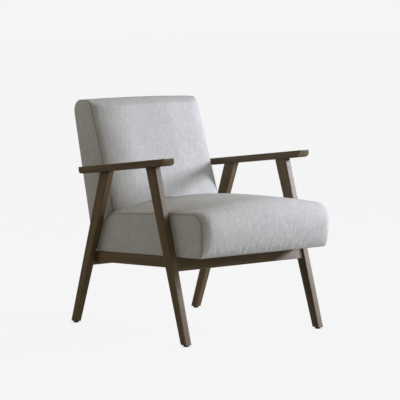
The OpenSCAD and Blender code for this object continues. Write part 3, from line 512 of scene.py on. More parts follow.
def resample(rows, step):
    """Rows evenly spaced along their first two columns; also returns the arc length."""
    seg = np.hypot(np.diff(rows[:, 0]), np.diff(rows[:, 1]))
    arc = np.concatenate([[0], np.cumsum(seg)])
    n = int(round(arc[-1] / step))
    at = np.linspace(0, arc[-1], n + 1)
    return np.stack([np.interp(at, arc, rows[:, i]) for i in range(rows.shape[1])], -1), at


# distances of the points next to a seam
NEAR_SEAM = [0.0, 1.3, 2.7, 4.4, 6.4, 8.8, 11.8, 15.6]


def edge_spaced(half, coarse):
    """Positions from -1 to 1: fine next to the seams, then coarse."""
    n = max(1, round((half - NEAR_SEAM[-1]) / coarse))
    d = np.concatenate([NEAR_SEAM, np.linspace(NEAR_SEAM[-1], half, n + 1)[1:]])
    t = 1 - d / half
    return np.concatenate([-t, t[::-1][1:]])


def ripple(d, middle, width):
    """A smooth wave, 1 in its middle."""
    return np.exp(-(((d - middle) / width) ** 2))


def seam_relief(d):
    """Height of the cloth next to a seam: groove, ridge of the turned seam allowance, stitch line."""
    return -1.1 * ripple(d, 0.0, 1.4) + 0.45 * ripple(d, 4.2, 2.0) - 0.35 * ripple(d, 8.8, 2.0)


# how far the cloth rolls out next to the seams, and over what distance
ROLL_PUSH, ROLL_R = 5.0, 10.5
# how square the front's crown is across
FRONT_SQUARE = 24
# how far its right end is drawn in, and up to what height
CORNER_IN, CORNER_H = 5.0, 30.0


def seat_band():
    """The seat's long band of cloth: rear, top and front, from seam to seam."""
    rows, arc = resample(seat_outline(), STEP)
    ts = edge_spaced(HALF_REF, STEP)
    T, K = np.meshgrid(ts, np.arange(len(rows)), indexing="ij")
    r = rows[K]
    s0, w0, ps, pw, front, strength = (r[..., i] for i in range(6))
    push = np.hypot(ps, pw)
    d = (1 - np.abs(T)) * HALF_REF
    share = (1 - front) * crown_share(T) + front * (1 - np.abs(T) ** FRONT_SQUARE)
    rolled = np.minimum(ROLL_PUSH * strength, push)
    offset = (push - rolled) * share + rolled * roll(d, ROLL_R)
    offset = offset + seam_relief(d) * strength
    n = np.stack([ps, pw], -1) / np.maximum(push, 1e-6)[..., None]
    s = s0 + offset * n[..., 0]
    w = w0 + offset * n[..., 1]
    x = T * seat_half(s)
    # the right front corner is drawn in a little more than the left one
    x = x - CORNER_IN * front * (1 - smooth(w / CORNER_H)) * np.clip(T, 0, 1) ** 3
    return x, s, w, arc, d


def distance_to_line(points, line):
    """Shortest distance of each point to a closed polyline, both in 2-D."""
    a, b = line, np.roll(line, -1, 0)
    ab = b - a
    out = np.full(len(points), 1e9)
    for i in range(len(a)):
        t = np.clip(((points - a[i]) @ ab[i]) / max(ab[i] @ ab[i], 1e-9), 0, 1)
        out = np.minimum(out, np.hypot(*(points - a[i] - t[:, None] * ab[i]).T))
    return out


RINGS = np.array([1.0, 0.985, 0.965, 0.94, 0.905, 0.86])


def ring_panel(loop, centre):
    """A flat panel as rings drawn in from its closed outline; returns ring points and their depth."""
    pts = centre + RINGS[:, None, None] * (loop[None] - centre)
    depth = distance_to_line(pts.reshape(-1, 2), loop).reshape(pts.shape[:2])
    return pts, depth


def inside(points, line):
    """Which points lie inside a closed polyline, in 2-D."""
    a, b = line, np.roll(line, -1, 0)
    x, y = points[:, :1], points[:, 1:]
    crosses = (a[:, 1] > y) != (b[:, 1] > y)
    rise = np.where(np.abs(b[:, 1] - a[:, 1]) < 1e-12, 1e-12, b[:, 1] - a[:, 1])
    at = a[:, 0] + (y - a[:, 1]) * (b[:, 0] - a[:, 0]) / rise
    return (crosses & (x < at)).sum(1) % 2 == 1


def inner_fill(loop):
    """Even triangles inside a closed loop; returns their points and the triangles."""
    lo, hi = loop.min(0), loop.max(0)
    columns = np.arange(lo[0], hi[0], FILL_STEP)
    lines = np.arange(lo[1], hi[1], FILL_STEP * 0.87)
    gx, gy = np.meshgrid(columns, lines, indexing="ij")
    gx = gx + 0.5 * FILL_STEP * (np.arange(gx.shape[1]) % 2)[None]
    grid = np.stack([gx.ravel(), gy.ravel()], -1)
    grid = grid[inside(grid, loop)]
    grid = grid[distance_to_line(grid, loop) > 0.55 * FILL_STEP]
    pts = np.concatenate([loop, grid])
    made = delaunay_2d_cdt([Vector(p) for p in pts], [], [list(range(len(loop)))], 1, 1e-5)
    out = np.array([pts[o[0]] if o else tuple(v) for v, o in zip(made[0], made[3])])
    return out, np.array([list(f) for f in made[2]])


# points closer than this, in metres, are joined
JOIN_REACH = 2e-6


class MeshParts:
    """Collects grids and loops of points, joins equal ones and makes one mesh with cloth coordinates."""

    def __init__(self):
        self.points, self.uvs, self.depths, self.faces, self.size = [], [], [], [], 0

    def grid(self, pts, uv, depth, flip=False, closed=False):
        a, b = pts.shape[:2]
        self.points.append(pts.reshape(-1, 3))
        self.uvs.append(uv.reshape(-1, 2))
        self.depths.append(np.broadcast_to(depth, (a, b)).reshape(-1))
        i, j = np.meshgrid(np.arange(a - 1), np.arange(b if closed else b - 1), indexing="ij")
        k = (j + 1) % b
        q = np.stack([i * b + j, (i + 1) * b + j, (i + 1) * b + k, i * b + k], -1).reshape(-1, 4)
        self.faces.extend(((q[:, ::-1] if flip else q) + self.size).tolist())
        self.size += a * b

    def triangles(self, pts, uv, depth, faces, flip=False):
        self.points.append(pts)
        self.uvs.append(uv)
        self.depths.append(depth)
        self.faces.extend(((faces[:, ::-1] if flip else faces) + self.size).tolist())
        self.size += len(pts)

    def build(self, name):
        """Makes the object; returns it and each vertex's depth from the nearest seam."""
        verts, uvs, depths = (np.concatenate(v) for v in (self.points, self.uvs, self.depths))
        key = np.round(verts / JOIN_REACH).astype(np.int64)
        _, first, inverse = np.unique(key, axis=0, return_index=True, return_inverse=True)
        inverse = inverse.reshape(-1)
        joined = inverse.tolist()
        out_faces, out_uv = [], []
        for f in self.faces:
            poly, src = [], []
            for corner in f:
                v = joined[corner]
                if v not in poly:
                    poly.append(v)
                    src.append(corner)
            if len(poly) >= 3:
                out_faces.append(poly)
                out_uv.extend(src)
        mesh = bpy.data.meshes.new(name)
        mesh.from_pydata(verts[first].tolist(), [], out_faces)
        layer = mesh.uv_layers.new(name="cloth")
        layer.data.foreach_set("uv", uvs[np.array(out_uv)].astype(np.float32).ravel())
        mesh.update()
        work = bmesh.new()
        work.from_mesh(mesh)
        bmesh.ops.recalc_face_normals(work, faces=work.faces)
        outer = max(work.faces, key=lambda f: f.calc_center_median().x)
        if outer.normal.x < 0:
            bmesh.ops.reverse_faces(work, faces=work.faces)
        work.to_mesh(mesh)
        work.free()
        mesh.shade_smooth()
        obj = bpy.data.objects.new(name, mesh)
        bpy.context.collection.objects.link(obj)
        low = np.full(len(first), 1e9)
        np.minimum.at(low, inverse, depths)
        mark = mesh.attributes.new("seam_depth", "FLOAT", "POINT")
        mark.data.foreach_set("value", low.astype(np.float32))
        return obj, low


def get_points(obj):
    co = np.empty(len(obj.data.vertices) * 3, np.float32)
    obj.data.vertices.foreach_get("co", co)
    return co.reshape(-1, 3).astype(float)


def set_points(obj, co):
    obj.data.vertices.foreach_set("co", co.astype(np.float32).ravel())
    obj.data.update()


SMOOTH_ROUNDS, SIM_FRAMES = 14, 20


def smoothed(obj, values):
    """Values at the vertices, averaged with their neighbours SMOOTH_ROUNDS times."""
    n = len(obj.data.vertices)
    e = np.empty(len(obj.data.edges) * 2, np.int64)
    obj.data.edges.foreach_get("vertices", e)
    e = e.reshape(-1, 2)
    count = np.bincount(e.ravel(), minlength=n)[:, None].clip(1)
    out = values.copy()
    for _ in range(SMOOTH_ROUNDS):
        total = np.empty_like(out)
        for i in range(3):
            to_first = np.bincount(e[:, 0], out[e[:, 1], i], n)
            total[:, i] = to_first + np.bincount(e[:, 1], out[e[:, 0], i], n)
        out = 0.5 * out + 0.5 * total / count
    return out


def cloth_detail(obj, pinned, share, pressure, slack, cap):
    """Inflates a copy of the piece as cloth between its pinned seams, and keeps the fine
    part of the movement, so that the piece holds its size and gets the cloth's puckers.

    pinned: 1 where a vertex is held, 0 where it is free. share: how much of its movement stays.
    slack: the cloth's growth, as a share. cap: the most movement that stays, in metres."""
    start = get_points(obj)
    sim = obj.copy()
    sim.data = obj.data.copy()
    bpy.context.collection.objects.link(sim)
    sim.modifiers.clear()
    group = sim.vertex_groups.new(name="held")
    for i, w in enumerate(pinned.tolist()):
        if w > 0.01:
            group.add([i], w, "REPLACE")
    mod = sim.modifiers.new("cloth", "CLOTH")
    st = mod.settings
    st.quality = 6
    st.mass = 0.25
    st.tension_stiffness = st.compression_stiffness = 12
    st.shear_stiffness = 8
    st.bending_stiffness = 0.35
    st.tension_damping = st.compression_damping = 20
    st.use_pressure = True
    st.uniform_pressure_force = pressure
    st.shrink_min = -slack
    st.vertex_group_mass = "held"
    st.pin_stiffness = 1.0
    st.effector_weights.gravity = 0.0
    mod.collision_settings.use_collision = False
    mod.point_cache.frame_start = 1
    mod.point_cache.frame_end = SIM_FRAMES
    for frame_no in range(1, SIM_FRAMES + 1):
        bpy.context.scene.frame_set(frame_no)
    shaped = sim.evaluated_get(bpy.context.evaluated_depsgraph_get())
    moved = np.empty(len(shaped.data.vertices) * 3, np.float32)
    shaped.data.vertices.foreach_get("co", moved)
    moved = moved.reshape(-1, 3) - start
    bpy.context.scene.frame_set(1)
    bpy.data.objects.remove(sim, do_unlink=True)
    fine = share[:, None] * (moved - smoothed(obj, moved))
    size = np.linalg.norm(fine, axis=1, keepdims=True)
    fine *= np.minimum(1.0, cap / np.maximum(size, 1e-9))
    set_points(obj, start + fine)


def held(depth):
    """How firmly the seams hold the cloth at a depth from them: 1 up to 7 mm, 0 from 13 mm on."""
    return np.clip(1.0 - (depth - 7.0) / 6.0, 0, 1)


def near(d, start, reach):
    """1 up to the start, falling smoothly to 0 over the reach."""
    return 1 - smooth((d - start) / reach)


# shares of the cloth's movement that stay: all over, along the seat's lower edge, beside the
# seat's and the back's seams, and at the seat's rear
PUCKER_ALL, PUCKER_LOW = 0.20, 0.58
PUCKER_SEAT_SEAM, PUCKER_BACK_SEAM, PUCKER_REAR = 0.25, 0.30, 0.30
COVER_THICK, PANEL_THICK, LINING_THICK = 2.4 * MM, 1.2 * MM, 0.6 * MM


def add_subdivision(obj):
    sub = obj.modifiers.new("fine", "SUBSURF")
    sub.levels = sub.render_levels = 1


def add_thickness(obj, thick, offset):
    shell = obj.modifiers.new("thickness", "SOLIDIFY")
    shell.thickness = thick
    shell.offset = offset


def declare(obj, node):
    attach(obj, "root")
    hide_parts(node)


# seat

# the cover's lower edges turn in by TURN_IN, and lie a little higher there: front and rear, sides
TURN_IN, TURNED_W, LIP_W = 9.0, 0.7, 0.8
SEAT_ROLL = 17.0
LOWER_POINTS = 112
# offset of the side panels' cloth coordinates from the band's
SEAT_PANEL_UV, BACK_PANEL_UV = 0.6, 0.9


def seat_side_x(s, depth, side):
    """The side panels' place across, at a distance s along the seat and a depth from their seam."""
    return side * (seat_half(s) + SIDE_BULGE * roll(depth, SEAT_ROLL) + seam_relief(depth) * 0.6)


def build_seat():
    x, s, w, arc, d = seat_band()
    parts = MeshParts()
    # the cover turns in under its frame at the front and the rear
    tuck = []
    for k, sign in ((0, -1.0), (-1, 1.0)):
        inward = [x[:, k] * 0.985, s[:, k] + sign * TURN_IN, np.full(len(x), TURNED_W)]
        tuck.append(np.stack(inward, -1))
    bx = np.concatenate([tuck[0][:, None, 0], x, tuck[1][:, None, 0]], 1)
    bs = np.concatenate([tuck[0][:, None, 1], s, tuck[1][:, None, 1]], 1)
    bw = np.concatenate([tuck[0][:, None, 2], w, tuck[1][:, None, 2]], 1)
    barc = np.concatenate([[-TURN_IN], arc, [arc[-1] + TURN_IN]])
    buv = np.stack([bx, np.broadcast_to(barc, bx.shape)], -1) * MM
    bd = np.concatenate([d[:, :1], d, d[:, -1:]], 1)
    parts.grid(seat_to_world(bx, bs, bw), buv, bd)
    # the point towards which the side panels' rings are drawn in
    centre = np.array([-SEAT_FRONT * 0.16, SEAT_H * 0.48])
    for side, edge in ((-1, 0), (1, -1)):
        uv_at = np.array([SEAT_PANEL_UV * side, 0.0])
        seam = np.stack([s[edge], w[edge]], -1)
        low_s = np.linspace(seam[-1, 0], seam[0, 0], LOWER_POINTS + 2)[1:-1]
        low = np.stack([low_s, np.full(LOWER_POINTS, SEAT_LOW)], -1)
        loop = np.concatenate([seam, low])
        pts, depth = ring_panel(loop, centre)
        px = seat_side_x(pts[..., 0], depth, side)
        px[0] = side * seat_half(loop[:, 0])
        px[0, : len(seam)] = x[edge]
        world = seat_to_world(px, pts[..., 0], pts[..., 1])
        parts.grid(world, pts * MM + uv_at, depth, side < 0, True)
        flat, tris = inner_fill(pts[-1])
        deep = distance_to_line(flat, loop)
        world = seat_to_world(seat_side_x(flat[:, 0], deep, side), flat[:, 0], flat[:, 1])
        parts.triangles(world, flat * MM + uv_at, deep, tris, side < 0)
        # its lower edge turned in
        lip_s = np.concatenate([[seam[-1, 0]], low_s, [seam[0, 0]]])
        lip_x = np.concatenate([[x[edge, -1]], px[0, len(seam):], [x[edge, 0]]])
        lip_s = np.stack([lip_s, lip_s])
        lip_x = np.stack([lip_x, lip_x - side * TURN_IN])
        lip_w = np.broadcast_to([[SEAT_LOW], [LIP_W]], lip_s.shape)
        lip_uv = np.stack([lip_x, lip_s], -1) * MM
        parts.grid(seat_to_world(lip_x, lip_s, lip_w), lip_uv, np.zeros(lip_s.shape), side > 0)
    obj, depth = parts.build("seat_upholstery")
    co = get_points(obj)
    height = co[:, 2] / MM - PLANE + co[:, 1] / MM * math.tan(TILT)
    pinned = held(depth)
    pinned[height < 6] = 1.0
    share = PUCKER_ALL + PUCKER_LOW * near(height, 4, 32) + PUCKER_SEAT_SEAM * near(depth, 6, 45)
    share += PUCKER_REAR * smooth(co[:, 1] / 0.12) * (co[:, 2] > 0.39)
    cloth_detail(obj, pinned, share, pressure=2.2, slack=0.014, cap=1.2 * MM)
    set_material(obj, linen)
    add_subdivision(obj)
    add_thickness(obj, COVER_THICK, -1.0)
    declare(obj, "seat_cover")


# back

BACK_BASE = RAIL_TOP + SEAT_REAR_H
BACK_FRONT = STILE_FRONT - 72.0
BACK_REAR = STILE_FRONT + 74.0
BACK_HALF = clear_half(RAIL_TOP_Y) - 24.0
BACK_CROWN, TOP_RISE = 34.0, 4.0
# the faces' leans in degrees, and the same as slopes
FRONT_LEAN, REAR_LEAN = 20.0, 13.3
FRONT_K = math.tan(math.radians(FRONT_LEAN))
REAR_K = math.tan(math.radians(REAR_LEAN))
BACK_TOP = 769.5
FRONT_R, REAR_R = 28.0, 36.0
TAIL_FRONT, TAIL_LOW = STILE_FRONT - 0.5, RAIL_TOP + 0.5
FRAME_TOP = BACK_TOP - REAR_R * (1 + math.sin(math.radians(REAR_LEAN))) - 2
# gap between the back and the seat
BACK_GAP = 1.2
UNDER_STEPS, FRONT_STEPS, TOP_FRONT_STEPS, TOP_REAR_STEPS = 26, 74, 13, 17
# rounding of the front face's lower edge, where it sits on the seat
FOOT_IN, FOOT_R = 3.2, 16.0


def back_front_y(z):
    return BACK_FRONT + FRONT_K * (z - BACK_BASE)


def back_rear_y(z):
    return BACK_REAR + REAR_K * (z - BACK_BASE)


# centres of the top's front and rear roundings
FRONT_C = np.array([
    back_front_y(BACK_TOP - FRONT_R) + FRONT_R / math.cos(math.radians(FRONT_LEAN)),
    BACK_TOP - FRONT_R,
])
REAR_C = np.array([
    back_rear_y(BACK_TOP - REAR_R) - REAR_R / math.cos(math.radians(REAR_LEAN)),
    BACK_TOP - REAR_R,
])


def seat_top_point(a, x):
    """Point y, z just over the seat's rear rounding, at a turn in degrees and a place across."""
    n = ray(a)
    p = TAIL_C + (TAIL_R + BACK_GAP) * n
    c = crown_share(min(1.0, abs(x) / seat_half(p[0])))
    p = p + c * CROWN * float(crown_start(a)) * n
    y = p[0] * math.cos(TILT) + p[1] * math.sin(TILT)
    return np.array([y, PLANE + p[1] * math.cos(TILT) - p[0] * math.sin(TILT)])


def meet_turn(x, push):
    """Turn in degrees at which the seat's rear rounding meets the back's front face."""
    lo, hi = 0.0, 88.0
    for _ in range(24):
        mid = (lo + hi) / 2
        p = seat_top_point(mid, x)
        if back_front_y(p[1]) - push - p[0] > 0:
            hi = mid
        else:
            lo = mid
    return (lo + hi) / 2


def bump(t, middle, reach):
    """1 in the middle, falling to 0 at the reach on either side."""
    v = min(1.0, abs(t - middle) / reach)
    return (1 - v * v) ** 2


# the crown's wide part, with its squareness on the left and right, and its part next to the seams
WIDE_SHARE, LEFT_SQUARE, RIGHT_SQUARE = 0.80, 3.5, 5.0
EDGE_SHARE, EDGE_R = 0.20, 46.0
# the filling is fuller on the left and less full on the right: height, middle, reach
LEFT_FULL, RIGHT_FLAT = (3.0, -0.66, 0.34), (4.5, 0.60, 0.33)
LEFT_ROLL, LEFT_ROLL_R = 5.0, 17.0


def back_push(t, dist):
    """How far the front face stands out, at a place from -1 to 1 and a distance from its seam."""
    wide = 1 - abs(t) ** (LEFT_SQUARE if t < 0 else RIGHT_SQUARE)
    crown = wide * WIDE_SHARE + EDGE_SHARE * float(roll(dist, EDGE_R))
    uneven = LEFT_FULL[0] * bump(t, *LEFT_FULL[1:]) - RIGHT_FLAT[0] * bump(t, *RIGHT_FLAT[1:])
    left_roll = LEFT_ROLL * float(roll(dist, LEFT_ROLL_R)) * (1 - float(smooth((t + 0.70) / 0.9)))
    return BACK_CROWN * crown + uneven + left_roll


# height in mm and the share of the left side's further fullness there: its most, middle, reach
LEFT_HEIGHTS, LEFT_SHARES = [470, 530, 600, 720, 742], [0.0, 1.0, 0.9, -0.6, 0.0]
LEFT_LOW = (3.0, -0.62, 0.36)


def back_loop(x, push, rise):
    """Points y, z of the back at one place across: tail, seat's rounding, front face and top."""
    turn = meet_turn(x, push)
    under = [seat_top_point(turn * i / UNDER_STEPS, x) for i in range(UNDER_STEPS + 1)]
    under = np.array([[min(p[0], TAIL_FRONT), p[1]] for p in under])
    low = under[-1]
    lean = math.radians(FRONT_LEAN)
    high = FRONT_C + FRONT_R * np.array([-math.cos(lean), math.sin(lean)])
    f = np.linspace(0, 1, FRONT_STEPS + 1)[1:-1]
    z = low[1] + f * (high[1] - low[1])
    front = np.stack([back_front_y(z) - push, z], -1)
    front[:, 0] += FOOT_IN * (1 - roll(z - low[1], FOOT_R))
    g = np.linspace(0, 1, TOP_FRONT_STEPS)
    a = np.radians(180 - FRONT_LEAN - (90 - FRONT_LEAN) * g)
    top_front = FRONT_C + FRONT_R * np.stack([np.cos(a), np.sin(a)], -1)
    top_front = top_front + np.stack([-push * (1 - g), rise * g], -1)
    g = np.linspace(0, 1, TOP_REAR_STEPS)
    a = np.radians(90 - (90 + REAR_LEAN) * g)
    top_rear = REAR_C + REAR_R * np.stack([np.cos(a), np.sin(a)], -1)
    top_rear = top_rear + np.stack([np.zeros(len(g)), rise * (1 - g)], -1)
    return np.concatenate([[[TAIL_FRONT, TAIL_LOW]], under, front, top_front, top_rear])


def back_band():
    """The back's long band of cloth, from seam to seam: places across, points y, z, depth."""
    ts = edge_spaced(BACK_HALF, STEP)
    d = (1 - np.abs(ts)) * BACK_HALF
    loops = []
    for t, dist in zip(ts, d):
        loops.append(back_loop(t * BACK_HALF, back_push(t, dist), TOP_RISE * (1 - t * t)))
    yz = np.array(loops)
    # the left side's fullness grows downwards
    tail = UNDER_STEPS + 2
    face = yz[:, tail:tail + FRONT_STEPS - 1]
    share = np.interp(face[..., 1], LEFT_HEIGHTS, LEFT_SHARES)
    across = np.array([bump(t, *LEFT_LOW[1:]) for t in ts])
    face[..., 0] -= LEFT_LOW[0] * across[:, None] * share
    # relief next to the seam, along the front's and the top's normal
    normal = np.gradient(yz, axis=1)
    normal = np.stack([-normal[..., 1], normal[..., 0]], -1)
    normal /= np.maximum(np.linalg.norm(normal, axis=-1, keepdims=True), 1e-9)
    shown = (np.arange(yz.shape[1]) >= tail).astype(float)
    yz = yz + normal * (seam_relief(d)[:, None] * shown[None])[..., None]
    x = np.broadcast_to((ts * BACK_HALF)[:, None], yz.shape[:2])
    return x, yz, np.broadcast_to(d[:, None], x.shape)


BACK_SIDE_BULGE, BACK_SIDE_ROLL = 2.6, 20.0


def back_side_x(depth, side):
    """The side panels' place across, at a depth from their seam."""
    bulge = BACK_SIDE_BULGE * roll(depth, BACK_SIDE_ROLL) + seam_relief(depth) * 0.5
    return side * (BACK_HALF + bulge - 1.0)


# the sides turn round the rear edge: distances inwards and rearwards
TURN_INWARD = np.array([0.0, 1.6, 4.0, 7.5, 11.0])
TURN_REARWARD = np.array([0.0, 0.5, 0.9, 0.4, -2.0])


def build_back():
    x, yz, d = back_band()
    arc = np.concatenate([[0], np.cumsum(np.hypot(*np.diff(yz[len(yz) // 2], axis=0).T))])
    parts = MeshParts()
    uv = np.stack([x, np.broadcast_to(arc, x.shape)], -1) * MM
    parts.grid(np.concatenate([x[..., None], yz], -1) * MM, uv, d)
    mid_z = BACK_BASE + 20
    centre = np.array([(back_front_y(mid_z) + back_rear_y(mid_z)) / 2, mid_z])
    rear_z = np.linspace(REAR_C[1] + REAR_R * math.sin(math.radians(-REAR_LEAN)), TAIL_LOW, 96)[1:]
    rear = np.stack([back_rear_y(rear_z), rear_z], -1)
    foot_y = np.linspace(back_rear_y(TAIL_LOW), TAIL_FRONT, 10)[1:-1]
    foot = np.stack([foot_y, np.full(len(foot_y), TAIL_LOW)], -1)
    for side, edge in ((-1, 0), (1, -1)):
        uv_at = np.array([BACK_PANEL_UV * side, 0.0])
        loop = np.concatenate([yz[edge], rear, foot])
        pts, depth = ring_panel(loop, centre)
        px = back_side_x(depth, side)
        px[0] = side * BACK_HALF
        world = np.concatenate([px[..., None], pts], -1) * MM
        parts.grid(world, pts * MM + uv_at, depth, side < 0, True)
        flat, tris = inner_fill(pts[-1])
        deep = distance_to_line(flat, loop)
        world = np.concatenate([back_side_x(deep, side)[:, None], flat], -1) * MM
        parts.triangles(world, flat * MM + uv_at, deep, tris, side < 0)
        # the side turned round the rear edge, down to the outer panel's seam
        last = len(yz[edge]) - 1
        line = loop[last:last + len(rear) + 1]
        gx = side * (BACK_HALF - TURN_INWARD[:, None]) * np.ones(len(line))
        gy = line[None, :, 0] + TURN_REARWARD[:, None]
        gz = np.broadcast_to(line[:, 1], gx.shape)
        guv = np.stack([gx, gz], -1) * MM
        parts.grid(np.stack([gx, gy, gz], -1) * MM, guv, np.zeros(gx.shape), side < 0)
    obj, depth = parts.build("back_upholstery")
    co = get_points(obj)
    pinned = held(depth)
    pinned[(co[:, 2] < 0.42) & (co[:, 1] > 0.15)] = 1.0
    share = PUCKER_ALL + PUCKER_BACK_SEAM * near(depth, 6, 60)
    cloth_detail(obj, pinned, share, pressure=2.0, slack=0.010, cap=1.1 * MM)
    set_material(obj, linen)
    add_subdivision(obj)
    add_thickness(obj, COVER_THICK, -1.0)
    declare(obj, "back_cover")


# the panel's edges: inside the back's sides, over the rail's top, over the frame's top
PANEL_IN, PANEL_LOW, PANEL_HIGH = 10.6, 5.5, 2.0
PANEL_STEP = 9.0


def build_panel():
    """Outer panel: cloth drawn over the back's opening, a little full, its edges turned under."""
    half, z0, z1 = BACK_HALF - PANEL_IN, RAIL_TOP + PANEL_LOW, FRAME_TOP + PANEL_HIGH
    u = edge_spaced(half, PANEL_STEP) * half
    v = (edge_spaced((z1 - z0) / 2, PANEL_STEP) + 1) / 2
    X, Z = np.meshgrid(u, z0 + (z1 - z0) * v, indexing="ij")
    d = np.minimum(half - np.abs(X), np.minimum(Z - z0, z1 - Z))
    # rolled edge, fullness in the middle, stitch line
    out = -2.4 + 2.6 * roll(d, 5.0) + 2.6 * smooth(d / 120.0) - 0.7 * ripple(d, 8.0, 1.6)
    parts = MeshParts()
    parts.grid(np.stack([X, back_rear_y(Z) + out, Z], -1) * MM, np.stack([X, Z], -1) * MM, d)
    obj, _ = parts.build("back_panel_cloth")
    set_material(obj, linen)
    add_subdivision(obj)
    add_thickness(obj, PANEL_THICK, -1.0)
    declare(obj, "back_outer_panel")


# how far the lining's edges lie inside the seat's front, rear and sides
LINING_FRONT, LINING_REAR, LINING_IN = 24.0, 9.0, 8.6
LINING_STEP, LINING_HALF = 14.0, 230.0


def build_lining():
    """Lining under the seat: drawn flat over the seat frame, sagging a little between its bars."""
    s0, s1 = -SEAT_FRONT + LINING_FRONT, SEAT_REAR - LINING_REAR
    s = s0 + (s1 - s0) * (edge_spaced((s1 - s0) / 2, LINING_STEP) + 1) / 2
    t = edge_spaced(LINING_HALF, LINING_STEP)
    T, S = np.meshgrid(t, s, indexing="ij")
    half = seat_half(S) - LINING_IN
    X = T * half
    d = np.minimum(half - np.abs(X), np.minimum(S - s0, s1 - S))
    # flat on the bars, sagging between them, with a stitch line near the edge
    W = 0.65 - 2.3 * smooth((d - 34) / 70) - 0.20 * ripple(d, 9.0, 2.0)
    parts = MeshParts()
    parts.grid(seat_to_world(X, S, W), np.stack([X, S], -1) * MM, d)
    obj, _ = parts.build("dust_lining")
    set_material(obj, lining)
    add_thickness(obj, LINING_THICK, 0.0)
    declare(obj, "dust_cover")


build_seat()
build_back()
build_panel()
build_lining()

# hidden soft pieces
for name, mat in (("seat_foam", foam), ("back_foam", foam), ("seat_cross_webbing", strap),
                  ("seat_long_webbing", strap), ("back_webbing", strap)):
    set_material(nodes[name], mat)

# stage and lights

PALE = 0.914
# the lit part of the seen floor: its reflectance and the tone that this adds where no shadow falls
FLOOR_SHARE, FLOOR_LIT = 0.014, 0.008
FLOOR_HALF = 40.0
FLOOR_BOUNCE = (0.46, 0.45, 0.43)
# the touch of shade under the glides: its reach in metres and its darkest tone
TOUCH_REACH, TOUCH_DARK = 0.16, 0.66
# how much of the pale studio is mirrored
GLOSS_SHARE = 0.12
# strength of the surroundings at the horizon and high up
SKY_LOW, SKY_HIGH = 0.02, 0.33
SKY_COLOUR = (1.0, 0.93, 0.74)
# name, azimuth to the right of the front, elevation, size, strength, colour, seen in gloss, lights
LIGHTS = [
    ("key", 64.0, 18.0, 0.72, 1.21, (0.82, 0.865, 1.0), True, True),
    ("card", 33.0, 31.0, 1.6, 0.47, (0.80, 0.86, 1.0), True, False),
    ("front", 20.0, 8.0, 2.0, 0.25, (0.95, 0.97, 1.0), False, True),
    ("rear_left", -140.0, 18.0, 2.4, 0.205, (1.0, 0.96, 0.95), False, True),
]
LIGHT_DISTANCE = 3.7
LIGHT_AIM = Vector((0.0, 0.0, 0.45))


def add_area(name, place, size, power, colour):
    data = bpy.data.lights.new(name, "AREA")
    data.shape = "SQUARE"
    data.size = size
    data.energy = power
    data.color = colour
    obj = bpy.data.objects.new(name, data)
    bpy.context.collection.objects.link(obj)
    obj.location = place
    obj.rotation_euler = (LIGHT_AIM - place).to_track_quat("-Z", "Y").to_euler()
    return obj


def make_world():
    """Warm, dim surroundings for the diffuse light; the pale studio for what is seen or mirrored."""
    world = bpy.data.worlds.new("studio")
    bpy.context.scene.world = world
    world.use_nodes = True
    t = Tree(world.node_tree)
    out = t.node("ShaderNodeOutputWorld")
    paths = t.node("ShaderNodeLightPath")
    seen = t.math("MAXIMUM", paths.outputs["Is Camera Ray"], paths.outputs["Is Transmission Ray"])
    seen = t.math("MAXIMUM", seen, t.math("MULTIPLY", paths.outputs["Is Glossy Ray"], GLOSS_SHARE))
    shown = t.node("ShaderNodeBackground", Strength=1.0)
    shown.inputs["Color"].default_value = (PALE, PALE, PALE, 1)
    height = t.node("ShaderNodeSeparateXYZ")
    t.link(t.node("ShaderNodeTexCoord").outputs["Generated"], height.inputs[0])
    lit = t.node("ShaderNodeBackground")
    lit.inputs["Color"].default_value = (*SKY_COLOUR, 1)
    t.link(t.ramp(height.outputs[2], [(0.0, SKY_LOW), (0.85, SKY_HIGH)]), lit.inputs["Strength"])
    mix = t.node("ShaderNodeMixShader")
    t.link(seen, mix.inputs[0])
    t.link(lit.outputs[0], mix.inputs[1])
    t.link(shown.outputs[0], mix.inputs[2])
    t.link(mix.outputs[0], out.inputs[0])


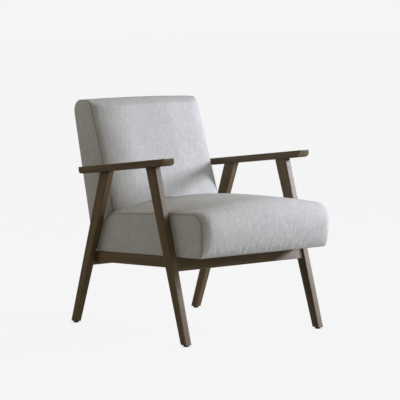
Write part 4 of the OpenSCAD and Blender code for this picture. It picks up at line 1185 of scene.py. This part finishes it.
def make_floor():
    mesh = bpy.data.meshes.new("floor")
    r = FLOOR_HALF
    mesh.from_pydata([(-r, -r, 0), (r, -r, 0), (r, r, 0), (-r, r, 0)], [], [(0, 1, 2, 3)])
    obj = bpy.data.objects.new("floor", mesh)
    bpy.context.collection.objects.link(obj)
    m = bpy.data.materials.new("floor")
    m.use_nodes = True
    t = Tree(m.node_tree)
    out = t.node("ShaderNodeOutputMaterial")
    paths = t.node("ShaderNodeLightPath")
    ao = t.node("ShaderNodeAmbientOcclusion", Distance=TOUCH_REACH)
    ao.samples = 12
    shade = t.ramp(ao.outputs["AO"], [(0.0, TOUCH_DARK - FLOOR_LIT), (0.8, PALE - FLOOR_LIT)])
    glow = t.node("ShaderNodeEmission", Strength=1.0)
    t.link(shade, glow.inputs["Color"])
    # a small part is lit by the lamps, so that the object's shadow stays on the pale floor
    faint = t.node("ShaderNodeBsdfDiffuse")
    faint.inputs["Color"].default_value = (FLOOR_SHARE, FLOOR_SHARE, FLOOR_SHARE, 1)
    seen = t.node("ShaderNodeAddShader")
    t.link(glow.outputs[0], seen.inputs[0])
    t.link(faint.outputs[0], seen.inputs[1])
    diff = t.node("ShaderNodeBsdfDiffuse")
    diff.inputs["Color"].default_value = (*FLOOR_BOUNCE, 1)
    mix = t.node("ShaderNodeMixShader")
    t.link(paths.outputs["Is Camera Ray"], mix.inputs[0])
    t.link(diff.outputs[0], mix.inputs[1])
    t.link(seen.outputs[0], mix.inputs[2])
    t.link(mix.outputs[0], out.inputs[0])
    set_material(obj, m)


make_camera()
make_world()
make_floor()
for lamp, az, el, size, strength, colour, in_gloss, lights in LIGHTS:
    az, el = math.radians(az), math.radians(el)
    way = Vector((math.sin(az) * math.cos(el), -math.cos(az) * math.cos(el), math.sin(el)))
    power = strength * math.pi**2 * LIGHT_DISTANCE**2
    obj = add_area(lamp, LIGHT_AIM + way * LIGHT_DISTANCE, size, power, colour)
    obj.visible_glossy = in_gloss
    obj.visible_diffuse = lights
bpy.context.scene.view_settings.view_transform = "Standard"
